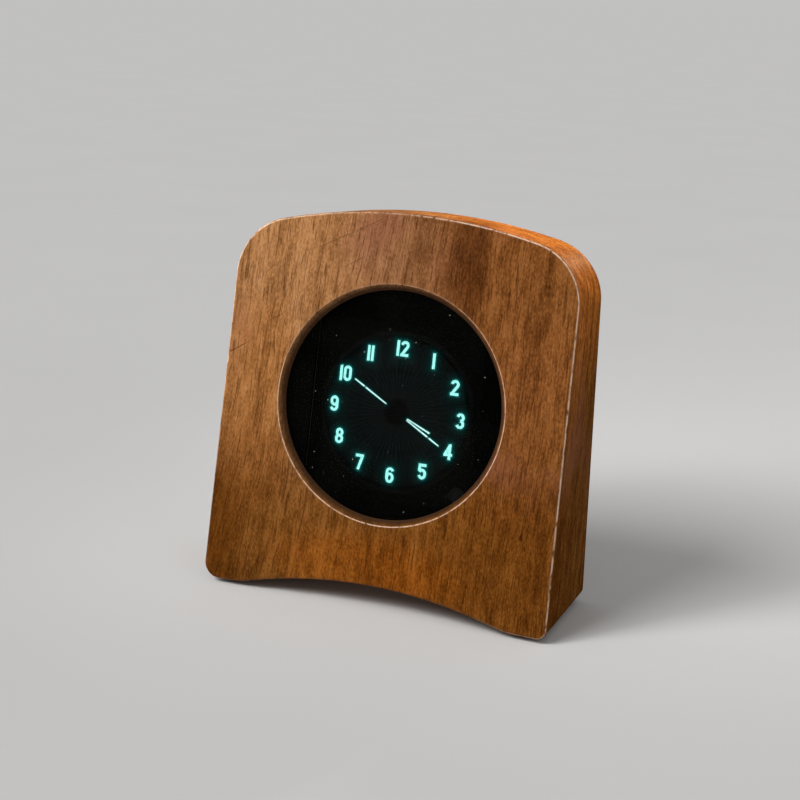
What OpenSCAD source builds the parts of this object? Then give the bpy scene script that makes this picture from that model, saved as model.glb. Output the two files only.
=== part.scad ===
// Desk clock: an analogue vacuum fluorescent display behind a round smoked window in a solid
// wooden case whose face leans back. Millimetres, Z up, the dial looks along -Y, and the
// origin lies on the table under the middle of the case.

/* [Case] */
// Width across the two feet
base_width = 120; // [112:1:140]
// Width just below the rounded top corners
top_width = 118; // [110:1:136]
// Height of the face, measured up its slope
face_height = 128.2; // [124:0.1:140]
// Height of the flat back
back_height = 124.6; // [121:0.1:135]
// Depth of the case at its feet
base_depth = 45; // [43:0.5:60]
// Angle by which the face leans back
lean = 9.5; // [6:0.5:11]
// Radius of the two top corners
top_corner = 20; // [15:0.5:26]
// Radius of the gently bowed top edge
crown_radius = 183; // [150:1:260]
// Radius of the two bottom corners
foot_corner = 4.5; // [2.5:0.5:7]
// Height of the arch cut under the case
arch_rise = 6.9; // [4:0.1:9]
// Width of the arch cut under the case
arch_span = 92.6; // [70:0.1:94]
// Rounding of the front and back edges
edge_round = 0.9; // [0.6:0.1:2]

/* [Feet] */
// Radius of a rubber foot
rubber_radius = 3.9; // [3:0.1:4.2]
// Depth of the seat that a rubber foot is stuck into
rubber_seat = 1; // [0.5:0.1:2]
// Height of the case above the table
foot_lift = 1.5; // [1:0.1:3]
// Distance of the rubber feet from the front and back edges
rubber_inset = 7.5; // [6:0.5:12]

/* [Window] */
// Radius of the clear opening
window_radius = 37; // [35:0.1:39]
// Height of the window's centre, up the slope of the face
window_height = 66.2; // [64:0.1:70]
// Rounding of the window's wooden rim
window_round = 2.4; // [1:0.1:2.6]
// Depth of the smoked pane behind the face
pane_depth = 2.8; // [2.7:0.1:4]
// Thickness of the smoked pane
pane_thickness = 2; // [1.5:0.1:3]
// Width of the ledge that the pane rests against
pane_ledge = 2.4; // [1.5:0.1:3]

/* [Display frame] */
// Thickness of the black frame behind the pane
frame_thickness = 1.5; // [1:0.1:2]
// Width of the frame beyond the heads of its screws
frame_margin = 2.2; // [1.5:0.1:3]
// Gap between the heads of the frame's screws and the tube's sides
frame_screw_gap = 2; // [1:0.1:3]
// Least wood between a frame screw and the pane's recess
frame_screw_wood = 1; // [0.6:0.1:2]
// Corner radius of the recess for the frame
well_corner = 6; // [4:0.5:8]
// Shank radius of the small frame screws
frame_screw = 0.9; // [0.7:0.1:1]
// Depth of thread of a frame screw in the wood
frame_bite = 3.4; // [2.5:0.1:4]

/* [Display tube] */
// Width and height of the tube's front glass
glass_size = 58; // [56:0.5:59]
// Thickness of the front glass
front_glass = 1.2; // [1:0.1:1.6]
// Height of the vacuum space
tube_height = 2; // [1.8:0.1:2.6]
// Thickness of the base glass
base_glass = 1.5; // [1:0.1:2]
// Width of the base glass's ledges for the pins
pin_ledge = 2.5; // [2:0.1:2.8]
// Width of the glass wall between the two plates
wall_width = 2; // [1.5:0.1:2.2]
// Distance of the dial's centre below the window's centre
dial_drop = 2.5; // [0:0.1:2.8]
// Gap between the pane and the front glass
pane_gap = 0.3; // [0.2:0.1:0.6]
// Thickness of a printed anode with its phosphor
anode = 0.1; // [0.08:0.01:0.2]

/* [Numerals and hands] */
// Height of a numeral
numeral_height = 5.1; // [4.5:0.1:5.4]
// Width of one digit
digit_width = 2.9; // [2.6:0.1:3.3]
// Width of the digit 0
zero_width = 2.8; // [2.5:0.1:3.2]
// Line width of the numerals
numeral_stroke = 0.9; // [0.6:0.05:1.1]
// Gap between the two digits of a numeral
digit_gap = 0.45; // [0.15:0.05:0.6]
// Distance of the numerals 3 and 9 inside the control grid's edge
numerals_in = 3.1; // [2.8:0.1:3.6]
// Distance of the numerals 12 and 6 inside the control grid's edge
numerals_down = 4.3; // [3.6:0.1:4.5]
// Inner end of a hand segment
hand_start = 4.4; // [4.2:0.1:6]
// Outer end of an inner segment
hand_break = 13.3; // [11:0.1:14]
// Gap between the inner and the outer segment
hand_gap = 0.6; // [0.3:0.05:0.8]
// Gap between a hand's outer end and the numeral 12
hand_clearance = 0.25; // [0.2:0.05:1]
// Width of a hand segment at its inner end
hand_root = 0.32; // [0.2:0.01:0.36]
// Width of a hand segment beside the gap
hand_middle = 0.5; // [0.3:0.01:0.6]
// Width of a hand segment at its outer tip
hand_tip = 0.3; // [0.2:0.01:0.4]
// Hour that the dial shows
shown_hour = 3; // [1:1:12]
// Minute that the dial shows
shown_minute = 50; // [0:1:59]
// Second that the dial shows
shown_second = 20; // [0:1:59]

/* [Tube electrodes] */
// Gap between the control grid and the tube's wall
grid_clearance = 1.8; // [1.5:0.1:2]
// Gap between the filaments' holders and the tube's wall
holder_clearance = 0.3; // [0.2:0.05:0.5]
// Thickness of a filament's post
holder_post = 0.3; // [0.2:0.05:0.5]
// Width of a filament holder's foot
holder_foot = 0.8; // [0.5:0.05:1]
// Width of the control grid's rim
grid_rim = 0.8; // [0.5:0.1:1]
// Spacing of the control grid's wires
grid_pitch = 3.2; // [2.8:0.1:5]
// Width of a control grid wire
grid_wire = 0.1; // [0.06:0.01:0.2]
// Thickness of the grid sheet
grid_sheet = 0.1; // [0.06:0.01:0.15]
// Height of the grid above the base glass
grid_height = 0.7; // [0.5:0.05:0.8]
// Radius of a filament wire
filament_radius = 0.06; // [0.04:0.01:0.1]
// Height of the filaments above the base glass
filament_height = 1.3; // [1.1:0.05:1.5]
// Number of filaments
filament_count = 4; // [2:1:6]
// Spacing of the filaments
filament_pitch = 9; // [6:0.5:9.5]
// Radius of the getter ring
getter_radius = 2.4; // [1.5:0.1:2.6]
// Radius of the exhaust tip
exhaust_radius = 1.7; // [1.2:0.1:2]
// Length of the exhaust tip
exhaust_length = 3.4; // [2.5:0.1:4]
// Number of pins along each edge
pin_count = 24; // [12:1:26]
// Spacing of the pins
pin_pitch = 2; // [1.8:0.1:2.1]
// Width of a pin
pin_width = 0.5; // [0.4:0.05:0.8]
// Thickness of a pin
pin_sheet = 0.2; // [0.15:0.05:0.3]

/* [Display board] */
// Width of the display board beyond the frame's recess on each side
board_margin = 6; // [5.5:0.1:7]
// Height of the board's centre above the dial's centre
board_raise = 3.3; // [2.5:0.1:4]
// Thickness of a circuit board
board_thickness = 1.6; // [1:0.1:2]
// Corner radius of the display board
board_corner = 6; // [5:0.5:9]
// Thickness of the foam pads between the tube and the board
pad_thickness = 2.2; // [1.8:0.1:3]
// Distance of the board's screws from its edges
board_screw_inset = 3.5; // [3.2:0.1:4]
// Shank radius of a board screw
board_screw = 1.5; // [1.2:0.1:1.6]
// Outer radius of a brass insert
insert_radius = 2.1; // [1.9:0.1:2.3]
// Length of a brass insert
insert_length = 5; // [4:0.5:6]
// Number of driver chips
driver_count = 3; // [2:1:3]
// Distance between the driver chips
driver_pitch = 25; // [20:0.5:26]
// Length of a driver chip
driver_length = 17.9; // [12:0.1:18]
// Width of a driver chip's body
driver_width = 7.5; // [4:0.1:8]
// Height of a driver chip
driver_height = 2.5; // [1:0.1:2.6]

/* [Pocket and back cover] */
// Gap between the display board and the sides of the case's pocket
pocket_gap = 3; // [2.5:0.1:4]
// Corner radius of the pocket
pocket_corner = 14; // [12:0.5:14]
// Width by which the back cover laps the pocket on each side
cover_lap = 6; // [5.5:0.1:7.5]
// Height of the back cover's centre below the display board's centre
cover_drop = 6; // [5:0.1:7]
// Corner radius of the back cover
cover_corner = 10; // [7:0.5:10]
// Thickness of the back cover
cover_thickness = 2.5; // [2:0.1:3]
// Depth of the cover's outer face inside the case's back
cover_recess = 1.5; // [1.3:0.1:2]
// Distance of the cover's screws from its edges
cover_screw_inset = 5.2; // [4.6:0.1:5.6]
// Shank radius of a cover screw
cover_screw = 1.25; // [1:0.05:1.4]
// Number of vent slots
vent_count = 9; // [5:1:11]
// Width of a vent slot
vent_width = 1.8; // [1:0.1:2.5]
// Length of a vent slot
vent_length = 14; // [8:0.5:16]
// Spacing of the vent slots
vent_pitch = 6; // [4:0.5:6.5]

/* [Control board] */
// Width of the control board
control_width = 62; // [60:0.5:66]
// Height of the control board
control_height = 38; // [37:0.5:40]
// Height of the control board's lower edge below the display board's centre
control_drop = 29; // [28:0.1:30]
// Length of the posts between the cover and the control board
post_length = 6.4; // [6.2:0.1:6.8]
// Radius of a post
post_radius = 2.8; // [2.4:0.1:3]
// Distance of the posts from the control board's edges
post_inset = 3.6; // [3.3:0.1:4]
// Shank radius of a post screw
post_screw = 1; // [0.8:0.05:1.1]
// Radius of the coin cell
cell_radius = 10; // [8:0.5:10]
// Thickness of the coin cell
cell_thickness = 2.5; // [1.6:0.1:3.2]
// Radius of a capacitor
capacitor_radius = 3; // [2:0.1:3.2]
// Height of a capacitor
capacitor_height = 3.5; // [3:0.1:5]
// Width of the inductor
inductor_width = 9; // [6:0.1:9]
// Height of the inductor
inductor_height = 4; // [2.5:0.1:4.5]
// Width of the flat cable
cable_width = 17; // [10:0.5:18]
// Thickness of the flat cable
cable_thickness = 0.3; // [0.2:0.05:0.5]

/* [Keys] */
// Number of millimetres that a key travels
key_travel = 1; // [0.6:0.1:1.2]
// Radius of a key
key_radius = 2.9; // [2.4:0.1:3.2]
// Height of a key above the back cover
key_height = 1.2; // [1:0.1:1.3]
// Radius of the collar that keeps a key in
key_collar = 4; // [3.8:0.1:4.4]
// Thickness of the collar
collar_thickness = 1; // [0.8:0.1:1.1]
// Distance between the keys
key_pitch = 14; // [11:0.5:15]
// Width of a key switch
switch_width = 6; // [5.5:0.1:7]
// Height of a key switch
switch_height = 3.6; // [3:0.1:3.7]
// Radius of the switch's plunger
plunger_radius = 1.7; // [1.4:0.05:1.9]

/* [Power inlet] */
// Distance of the inlet from the middle of the case
jack_x = 28; // [24:0.5:30]
// Height of the inlet below the control board's lower edge
jack_drop = 11; // [10:0.1:12]
// Radius of the hole for the plug
jack_bore = 2.8; // [2.7:0.05:3]
// Radius of the contact pin
jack_pin_radius = 1.05; // [0.8:0.05:1.3]
// Radius of the inlet's threaded barrel
jack_barrel = 4; // [3.8:0.1:4.5]
// Radius of the inlet's flange
jack_flange = 5.2; // [5:0.1:6]
// Depth of the hole for the plug
jack_depth = 9.5; // [8:0.1:10]
// Radius of a power lead
lead_radius = 0.7; // [0.5:0.05:0.9]

/* [Fits] */
// Play around a part that drops into a recess
drop_play = 0.25; // [0.15:0.05:0.35]
// Play around a screw in its clearance hole
screw_play = 0.2; // [0.1:0.05:0.3]
// Gap left by a thread, a glued fit or a push fit
thread_play = 0.02; // [0.01:0.01:0.04]
// Play between a key and its hole in the cover
key_play = 0.3; // [0.25:0.05:0.4]
// Play between a plunger and its switch
plunger_play = 0.06; // [0.04:0.01:0.1]

/* [Hidden] */
$fn = 48;

half_depth = base_depth / 2;
half_base = base_width / 2;
half_top = top_width / 2;
back_scale = back_height / face_height;

// Centres of the outline's arcs, in the plane of the face
arch_radius = (pow(arch_span / 2, 2) + pow(arch_rise, 2)) / (2 * arch_rise);
arch_centre = arch_rise - arch_radius;
crown_centre = face_height - crown_radius;
corner_x = half_top - top_corner;
corner_rise = sqrt(pow(crown_radius - top_corner, 2) - pow(corner_x, 2));
corner_angle = atan2(corner_rise, corner_x);

// Depths behind the face, from the pane to the display board
pane_back = pane_depth + pane_thickness;
frame_back = pane_back + frame_thickness;
tube_front = pane_back + pane_gap;
glass_back = tube_front + front_glass;
anode_depth = glass_back + tube_height;
base_back = anode_depth + base_glass;
board_front = base_back + pad_thickness;
board_back = board_front + board_thickness;
dial_height = window_height - dial_drop;
pane_radius = window_radius + pane_ledge;
grid_radius = glass_size / 2 - wall_width - grid_clearance;
numerals_across = grid_radius - numerals_in;
numerals_up = grid_radius - numerals_down;
hand_end = numerals_up - numeral_height / 2 - hand_clearance;

// The frame's screws stand beside the tube, in wood that the pane's recess leaves, and the
// frame, the board behind it, the pocket and the cover each reach a margin further
frame_screw_head = frame_screw * 2.1;
frame_screw_y = glass_size / 2 + frame_screw;
frame_screw_reach = pane_radius + drop_play + frame_screw + frame_screw_wood;
frame_screw_x = max(glass_size / 2 + frame_screw_head + frame_screw_gap,
    sqrt(pow(frame_screw_reach, 2) - pow(frame_screw_y - dial_drop, 2)));
well_width = 2 * (frame_screw_x + frame_screw_head + frame_margin);
well_height = 2 * (frame_screw_y + frame_screw_head + frame_margin);
board_width = well_width + 2 * board_margin;
board_height = well_height + 2 * board_margin;
board_centre = dial_height + board_raise;
pocket_width = board_width + 2 * pocket_gap;
pocket_height = board_height + 2 * pocket_gap;
cover_width = pocket_width + 2 * cover_lap;
cover_height = pocket_height + 2 * cover_lap;

// Depths of the back, measured along Y
cover_out = half_depth - cover_recess;
cover_in = cover_out - cover_thickness;
control_back = cover_in - post_length;
control_front = control_back - board_thickness;
cover_centre = board_centre - cover_drop;
control_bottom = board_centre - control_drop;
control_centre = control_bottom + control_height / 2;
key_row = control_centre;
jack_z = control_bottom - jack_drop;
collar_top = cover_in - key_play;
plunger_bottom = control_back + key_travel + 0.5;
plunger_top = collar_top - 0.4;
key_places = [-key_pitch, 0, key_pitch];
jack_bottom = cover_out + 1.2 - jack_depth;
jack_back = jack_bottom - 3.5;

// Straight length of a cable or lead where it leaves a part, and where the two sockets sit
straight_end = 0.6;
socket_height = 2;
socket_depth = 5;
socket_width = cable_width + 4;
display_socket_v = board_centre - board_height / 2 + 10;
control_socket_z = control_bottom + 3.5;

// Turns what is drawn with X across, Z up the slope and Y into the case onto the leaning face
module on_face() translate([0, -half_depth, foot_lift]) rotate([-lean, 0, 0]) children();

// Lifts what is drawn from the case's underside to its height above the table
module on_back() translate([0, 0, foot_lift]) children();

// A flat shape, seen from the front, that fills the depths from `near` to `near + thickness`
module slab(near, thickness)
    translate([0, near + thickness, 0]) rotate([90, 0, 0]) linear_extrude(thickness) children();

// A rectangle about the origin with rounded corners
module rounded(width, height, radius) {
    square([width - 2 * radius, height], center = true);
    square([width, height - 2 * radius], center = true);
    for (x = [-1, 1], y = [-1, 1])
        translate([x * (width / 2 - radius), y * (height / 2 - radius)]) circle(radius);
}

// Copies at the four corners of a rectangle about the origin
module corners(width, height)
    for (x = [-1, 1], y = [-1, 1]) translate([x * width / 2, y * height / 2]) children();

function unit(v) = v / norm(v);

// Points along an arc with separate radii across and up
function arc(centre, across, up, from, to, steps) =
    [for (i = [0:steps]) let (a = from + (to - from) * i / steps)
        centre + [across * cos(a), up * sin(a)]];

// A point on a curve with four control points
function bezier(p, t) = pow(1 - t, 3) * p[0] + 3 * pow(1 - t, 2) * t * p[1]
    + 3 * (1 - t) * t * t * p[2] + pow(t, 3) * p[3];
function curve(p, steps) = [for (i = [0:steps]) bezier(p, i / steps)];

// The outline of a line of even width drawn through points
function side_step(p, i) = let (t = unit(p[min(i + 1, len(p) - 1)] - p[max(i - 1, 0)]))
    [-t[1], t[0]];
function ribbon(p, width) = concat(
    [for (i = [0:len(p) - 1]) p[i] + width / 2 * side_step(p, i)],
    [for (i = [len(p) - 1:-1:0]) p[i] - width / 2 * side_step(p, i)]);

// Right half of the case's outline, drawn inward by `inset`: the arch and the foot's corner,
// then as many points again over the top corner and the crown
function half_outline(inset) = let (
    reach = acos((inset - arch_centre) / (arch_radius + inset))) concat(
    [for (i = [0:12]) let (a = reach * i / 12)
        [(arch_radius + inset) * sin(a), arch_centre + (arch_radius + inset) * cos(a)]],
    arc([half_base - foot_corner, foot_corner], foot_corner - inset, foot_corner - inset,
        -90, 0, 6),
    arc([corner_x, crown_centre + corner_rise], top_corner - inset, top_corner - inset,
        0, corner_angle, 11),
    [for (i = [1:8]) let (a = corner_angle + (90 - corner_angle) * i / 8)
        [(crown_radius - inset) * cos(a), crown_centre + (crown_radius - inset) * sin(a)]]);
function outline(inset) = let (half = half_outline(inset))
    concat(half, [for (i = [len(half) - 2:-1:1]) [-half[i][0], half[i][1]]]);

// The case's solid block: outlines on the leaning face and the upright back, joined by a skin
// and closed by upright strips between the lower and the upper points
module case_block() {
    steps = 4;
    turns = [for (i = [0:steps]) 90 * i / steps];
    front = [for (a = turns) [for (p = outline(edge_round * (1 - sin(a))))
        [p[0], -half_depth + p[1] * sin(lean) + edge_round * (1 - cos(a)) / cos(lean),
            foot_lift + p[1] * cos(lean)]]];
    back = [for (i = [steps:-1:0]) [for (p = outline(edge_round * (1 - sin(turns[i]))))
        [p[0], half_depth - edge_round * (1 - cos(turns[i])), foot_lift + p[1] * back_scale]]];
    rings = concat(front, back);
    n = len(rings[0]);
    last = len(rings) - 1;
    skin = [for (r = [0:last - 1], i = [0:n - 1]) let (j = (i + 1) % n)
        each [[r * n + i, (r + 1) * n + j, (r + 1) * n + i], [r * n + i, r * n + j, (r + 1) * n + j]]];
    strips = [for (i = [0:n / 4 - 1]) [i, i + 1, n / 2 - 1 - i, n / 2 - i]];
    right = [for (q = strips) [q[3], q[2], q[1], q[0]]];
    left = [for (q = strips) [for (i = q) (n - i) % n]];
    caps = concat(right, left);
    polyhedron([for (ring = rings) each ring],
        concat(caps, skin, [for (q = caps) [for (i = [3:-1:0]) last * n + q[i]]]));
}

// Seats in the wood: the window, the frame's recess and the pocket lie square to the face
module window_cut() {
    translate([0, 0, window_height]) rotate([-90, 0, 0]) rotate_extrude($fn = 128) difference() {
        translate([0, -1]) square([window_radius + window_round, window_round + 1]);
        translate([window_radius + window_round, window_round]) circle(window_round);
    }
    slab(-1, pane_depth + 2) translate([0, window_height]) circle(window_radius, $fn = 128);
    slab(pane_depth, board_front - pane_depth + 1)
        translate([0, window_height]) circle(pane_radius + drop_play, $fn = 128);
}

module pocket_cut() {
    slab(pane_back, board_front - pane_back + 1)
        translate([0, dial_height]) rounded(well_width, well_height, well_corner);
    slab(board_front, base_depth)
        translate([0, board_centre]) rounded(pocket_width, pocket_height, pocket_corner);
}

module cover_seat_cut()
    slab(cover_in, base_depth) translate([0, cover_centre])
        rounded(cover_width + 2 * drop_play, cover_height + 2 * drop_play, cover_corner);

// Places of the fasteners
module at_frame_screws() translate([0, dial_height]) corners(2 * frame_screw_x, 2 * frame_screw_y)
    children();
module at_board_screws() translate([0, board_centre])
    corners(board_width - 2 * board_screw_inset, board_height - 2 * board_screw_inset) children();
module at_cover_screws() translate([0, cover_centre])
    corners(cover_width - 2 * cover_screw_inset, cover_height - 2 * cover_screw_inset) children();
module at_posts() translate([0, control_centre])
    corners(control_width - 2 * post_inset, control_height - 2 * post_inset) children();
module at_rubber_feet()
    corners(base_width - foot_corner - (base_width - arch_span) / 2, base_depth - 2 * rubber_inset)
        children();

module wood_case() color([0.45, 0.25, 0.12]) difference() {
    case_block();
    on_face() {
        window_cut();
        pocket_cut();
        slab(pane_back - frame_bite - 0.2, frame_bite + 1)
            at_frame_screws() circle(frame_screw + thread_play);
        slab(board_front - insert_length, insert_length + 1)
            at_board_screws() circle(insert_radius + thread_play);
    }
    on_back() {
        cover_seat_cut();
        slab(cover_in - insert_length, insert_length + 1)
            at_cover_screws() circle(insert_radius + thread_play);
    }
    translate([0, 0, -1]) linear_extrude(1 + foot_lift + rubber_seat)
        at_rubber_feet() circle(rubber_radius + thread_play);
}

module rubber_feet() color([0.08, 0.08, 0.08])
    linear_extrude(foot_lift + rubber_seat) at_rubber_feet() circle(rubber_radius);

module window_pane() color([0.02, 0.02, 0.03]) on_face()
    slab(pane_depth, pane_thickness)
        translate([0, window_height]) circle(pane_radius, $fn = 128);

module display_frame() color([0.05, 0.05, 0.05]) on_face()
    slab(pane_back, frame_thickness) difference() {
        union() {
            translate([0, window_height]) circle(pane_radius, $fn = 128);
            translate([0, dial_height]) rounded(well_width - 2 * drop_play,
                well_height - 2 * drop_play, well_corner - drop_play);
        }
        translate([0, dial_height]) square(glass_size + 2 * drop_play, center = true);
        at_frame_screws() circle(frame_screw + screw_play);
    }

module frame_screws() color([0.7, 0.7, 0.72]) on_face() {
    slab(pane_back - frame_bite, frame_bite + frame_thickness) at_frame_screws() circle(frame_screw);
    slab(frame_back, 1) at_frame_screws() difference() {
        circle(frame_screw_head);
        square([frame_screw_head, 0.4], center = true);
    }
}

module tube_front_glass() color([0.6, 0.75, 0.75]) on_face()
    slab(tube_front, front_glass) translate([0, dial_height]) square(glass_size, center = true);

module tube_wall() color([0.5, 0.52, 0.5]) on_face()
    slab(glass_back, tube_height) translate([0, dial_height]) difference() {
        square(glass_size, center = true);
        square(glass_size - 2 * wall_width, center = true);
    }

// The getter and the exhaust tip share the corners that the round dial leaves free
corner_place = glass_size / 2 - wall_width - getter_radius - 0.8;

module tube_base_glass() color([0.12, 0.13, 0.13]) on_face()
    slab(anode_depth, base_glass) translate([0, dial_height]) difference() {
        square([glass_size, glass_size + 2 * pin_ledge], center = true);
        translate([-corner_place, -corner_place]) circle(exhaust_radius / 2);
    }

module tube_exhaust_tip() color([0.6, 0.75, 0.75]) on_face()
    translate([-corner_place, base_back, dial_height - corner_place]) rotate([-90, 0, 0])
        rotate_extrude() difference() {
            polygon([[0, 0], [exhaust_radius, 0], [exhaust_radius, exhaust_length * 0.4],
                [exhaust_radius * 0.5, exhaust_length * 0.75], [0, exhaust_length]]);
            square([exhaust_radius / 2, exhaust_length * 0.35]);
        }

module tube_getter() color([0.75, 0.75, 0.77]) on_face()
    translate([corner_place, anode_depth, dial_height - corner_place]) rotate([90, 0, 0]) {
        cylinder(r = 0.5, h = tube_height * 0.4);
        translate([0, 0, tube_height * 0.4]) rotate_extrude() difference() {
            square([getter_radius, 0.7]);
            translate([getter_radius * 0.45, 0.2]) square([getter_radius * 0.4, 1]);
        }
    }

// Lines of a digit about the origin; `a` and `h` reach from the middle to its line's centre
module line(points) polygon(ribbon(points, numeral_stroke));
module loop(centre, across, up) {
    line(arc(centre, across, up, -92, 92, 12));
    line(arc(centre, across, up, 88, 272, 12));
}
module digit(value, width) {
    a = (width - numeral_stroke) / 2;
    h = (numeral_height - numeral_stroke) / 2;
    s = numeral_stroke / 2;
    if (value == 0) for (side = [-1, 1]) scale([side, 1])
        line(concat(arc([0, h - a], a, a, 94, 0, 6), arc([0, a - h], a, a, 0, -94, 6)));
    if (value == 1) line([[0, h + s], [0, -h - s]]);
    if (value == 2) {
        line(concat(arc([0, h - a], a, a, 175, -32, 10), [[-a * 0.95, -h]]));
        line([[-a - s, -h], [a + s * 0.8, -h]]);
    }
    if (value == 3) {
        line(arc([0, h - h / 2], a * 0.95, h / 2, 165, -90, 10));
        line(arc([0, -h / 2], a, h / 2, 90, -165, 10));
    }
    if (value == 4) {
        line([[a * 0.5, h + s], [a * 0.5, -h - s]]);
        line([[a * 0.45, h], [-a, -h * 0.42]]);
        line([[-a - s, -h * 0.45], [a + s, -h * 0.45]]);
    }
    if (value == 5) {
        line([[-a - s * 0.8, h], [a + s * 0.6, h]]);
        line([[-a * 0.9, h], [-a, h * 0.05]]);
        line(arc([0, -h * 0.38], a, h * 0.62, 150, -160, 12));
    }
    if (value == 6 || value == 9) rotate(value == 9 ? 180 : 0) {
        line(concat(arc([0, h - a], a, a, 15, 180, 8), [[-a, -h * 0.4]]));
        loop([0, -h * 0.4], a, h * 0.6);
    }
    if (value == 7) {
        line([[-a - s, h], [a + s * 0.8, h]]);
        line([[a, h + s * 0.5], [-a * 0.35, -h - s]]);
    }
    if (value == 8) {
        loop([0, h * 0.52], a * 0.88, h * 0.48);
        loop([0, -h * 0.48], a, h * 0.52);
    }
}

function width_of(value) = value == 1 ? numeral_stroke : value == 0 ? zero_width : digit_width;
module numeral(value) {
    units = value % 10;
    shift = value < 10 ? 0 : (width_of(1) + digit_gap) / 2;
    if (value >= 10) translate([-(width_of(units) + digit_gap) / 2, 0]) digit(1, width_of(1));
    translate([shift, 0]) digit(units, width_of(units));
}

module numeral_anodes() color([0.55, 1, 0.95]) on_face()
    slab(anode_depth - anode, anode) translate([0, dial_height])
        for (hour = [1:12]) let (a = 30 * hour)
            translate([numerals_across * sin(a), numerals_up * cos(a)]) numeral(hour);

// One hand segment: a slim wedge that points outward at one of the sixty places
module segment(place, from, to, from_width, to_width)
    rotate(-6 * place) polygon([[-from_width / 2, from], [from_width / 2, from],
        [to_width / 2, to], [-to_width / 2, to]]);
module inner_segment(place) segment(place, hand_start, hand_break, hand_root, hand_middle);
module outer_segment(place) segment(place, hand_break + hand_gap, hand_end, hand_middle, hand_tip);

hour_place = round((shown_hour % 12) * 5 + shown_minute / 12) % 60;
lit_inner = [hour_place, shown_minute, shown_second];
lit_outer = [shown_minute, shown_second];
function is_lit(place, list) = len(search(place, list)) > 0;

module lit_hand_anodes() color([0.7, 1, 0.97]) on_face()
    slab(anode_depth - anode, anode) translate([0, dial_height]) for (place = [0:59]) {
        if (is_lit(place, lit_inner)) inner_segment(place);
        if (is_lit(place, lit_outer)) outer_segment(place);
    }

module idle_hand_anodes() color([0.2, 0.22, 0.22]) on_face()
    slab(anode_depth - anode, anode) translate([0, dial_height]) for (place = [0:59]) {
        if (!is_lit(place, lit_inner)) inner_segment(place);
        if (!is_lit(place, lit_outer)) outer_segment(place);
    }

module control_grid() color([0.5, 0.5, 0.52]) on_face() {
    wires = floor((grid_radius - grid_rim) / grid_pitch);
    slab(anode_depth - grid_height - grid_sheet, grid_sheet) translate([0, dial_height]) {
        difference() {
            circle(grid_radius, $fn = 96);
            circle(grid_radius - grid_rim, $fn = 96);
        }
        intersection() {
            circle(grid_radius - grid_rim / 2, $fn = 96);
            for (i = [-wires:wires]) {
                translate([i * grid_pitch, 0]) square([grid_wire, 2 * grid_radius], center = true);
                translate([0, i * grid_pitch]) square([2 * grid_radius, grid_wire], center = true);
            }
        }
    }
    slab(anode_depth - grid_height, grid_height) translate([0, dial_height])
        for (a = [45:90:315]) rotate(a) translate([grid_radius - grid_rim / 2, 0])
            square([grid_rim * 0.6, 1.5], center = true);
}

// Filaments run across the tube between two stamped holders, above the grid
holder_x = glass_size / 2 - wall_width - holder_clearance - holder_post;
filament_span = filament_pitch * (filament_count - 1);
function filament_place(i) = dial_height - filament_span / 2 + i * filament_pitch;
module filaments() color([0.75, 0.6, 0.5]) on_face()
    for (i = [0:filament_count - 1])
        translate([-holder_x, anode_depth - filament_height, filament_place(i)])
            rotate([0, 90, 0]) cylinder(r = filament_radius, h = 2 * holder_x, $fn = 16);

// A holder stands on the base glass, with one post at each end of each filament
module filament_holder(side, post) {
    slab(anode_depth - 0.2, 0.2)
        translate([side * (holder_x + holder_post - holder_foot / 2), dial_height])
            square([holder_foot, filament_span + 4], center = true);
    slab(anode_depth - filament_height - filament_radius - 0.15,
        filament_height + filament_radius + 0.15)
        for (i = [0:filament_count - 1])
            translate([side * (holder_x + holder_post / 2), filament_place(i)])
                square([holder_post, post], center = true);
}
module filament_anchor() color([0.7, 0.7, 0.72]) on_face() filament_holder(-1, 1.6);
module filament_spring() color([0.7, 0.7, 0.72]) on_face() filament_holder(1, 0.8);

// A pin lies on the ledge of the base glass, turns over its edge and stands on the board
module tube_pins() color([0.8, 0.8, 0.78]) on_face()
    for (side = [-1, 1], i = [0:pin_count - 1]) {
        x = (i - (pin_count - 1) / 2) * pin_pitch - pin_width / 2;
        edge = glass_size / 2 + pin_ledge;
        translate([x, 0, dial_height]) scale([1, 1, side]) {
            translate([0, anode_depth - pin_sheet, edge - 1.6]) cube([pin_width, pin_sheet, 1.6]);
            translate([0, anode_depth - pin_sheet, edge])
                cube([pin_width, board_front - anode_depth + pin_sheet, pin_sheet]);
        }
    }

module tube_pads() color([0.15, 0.15, 0.15]) on_face()
    slab(base_back, pad_thickness) for (side = [-1, 1])
        translate([side * glass_size / 4, dial_height]) square([6, glass_size * 0.8], center = true);

module display_board() color([0.05, 0.22, 0.12]) on_face()
    slab(board_front, board_thickness) difference() {
        translate([0, board_centre]) rounded(board_width, board_height, board_corner);
        at_board_screws() circle(board_screw + screw_play);
        translate([-corner_place, dial_height - corner_place]) circle(exhaust_radius + 0.8);
    }

module board_inserts() color([0.8, 0.62, 0.25]) on_face()
    slab(board_front - insert_length, insert_length) at_board_screws() difference() {
        circle(insert_radius);
        circle(board_screw + thread_play);
    }

// A screw with a flat round head that lies on `near` and points toward smaller depths
module screw_pair(near, shank, length, head_height) {
    slab(near - length, length) circle(shank);
    slab(near, head_height) difference() {
        circle(shank * 1.85);
        square([shank * 2.4, shank * 0.45], center = true);
    }
}

module board_screws() color([0.7, 0.7, 0.72]) on_face()
    for (x = [-1, 1], y = [-1, 1])
        translate([x * (board_width / 2 - board_screw_inset), 0,
            board_centre + y * (board_height / 2 - board_screw_inset)])
            screw_pair(board_back, board_screw, board_thickness + insert_length - 0.5, 1.8);

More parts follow.
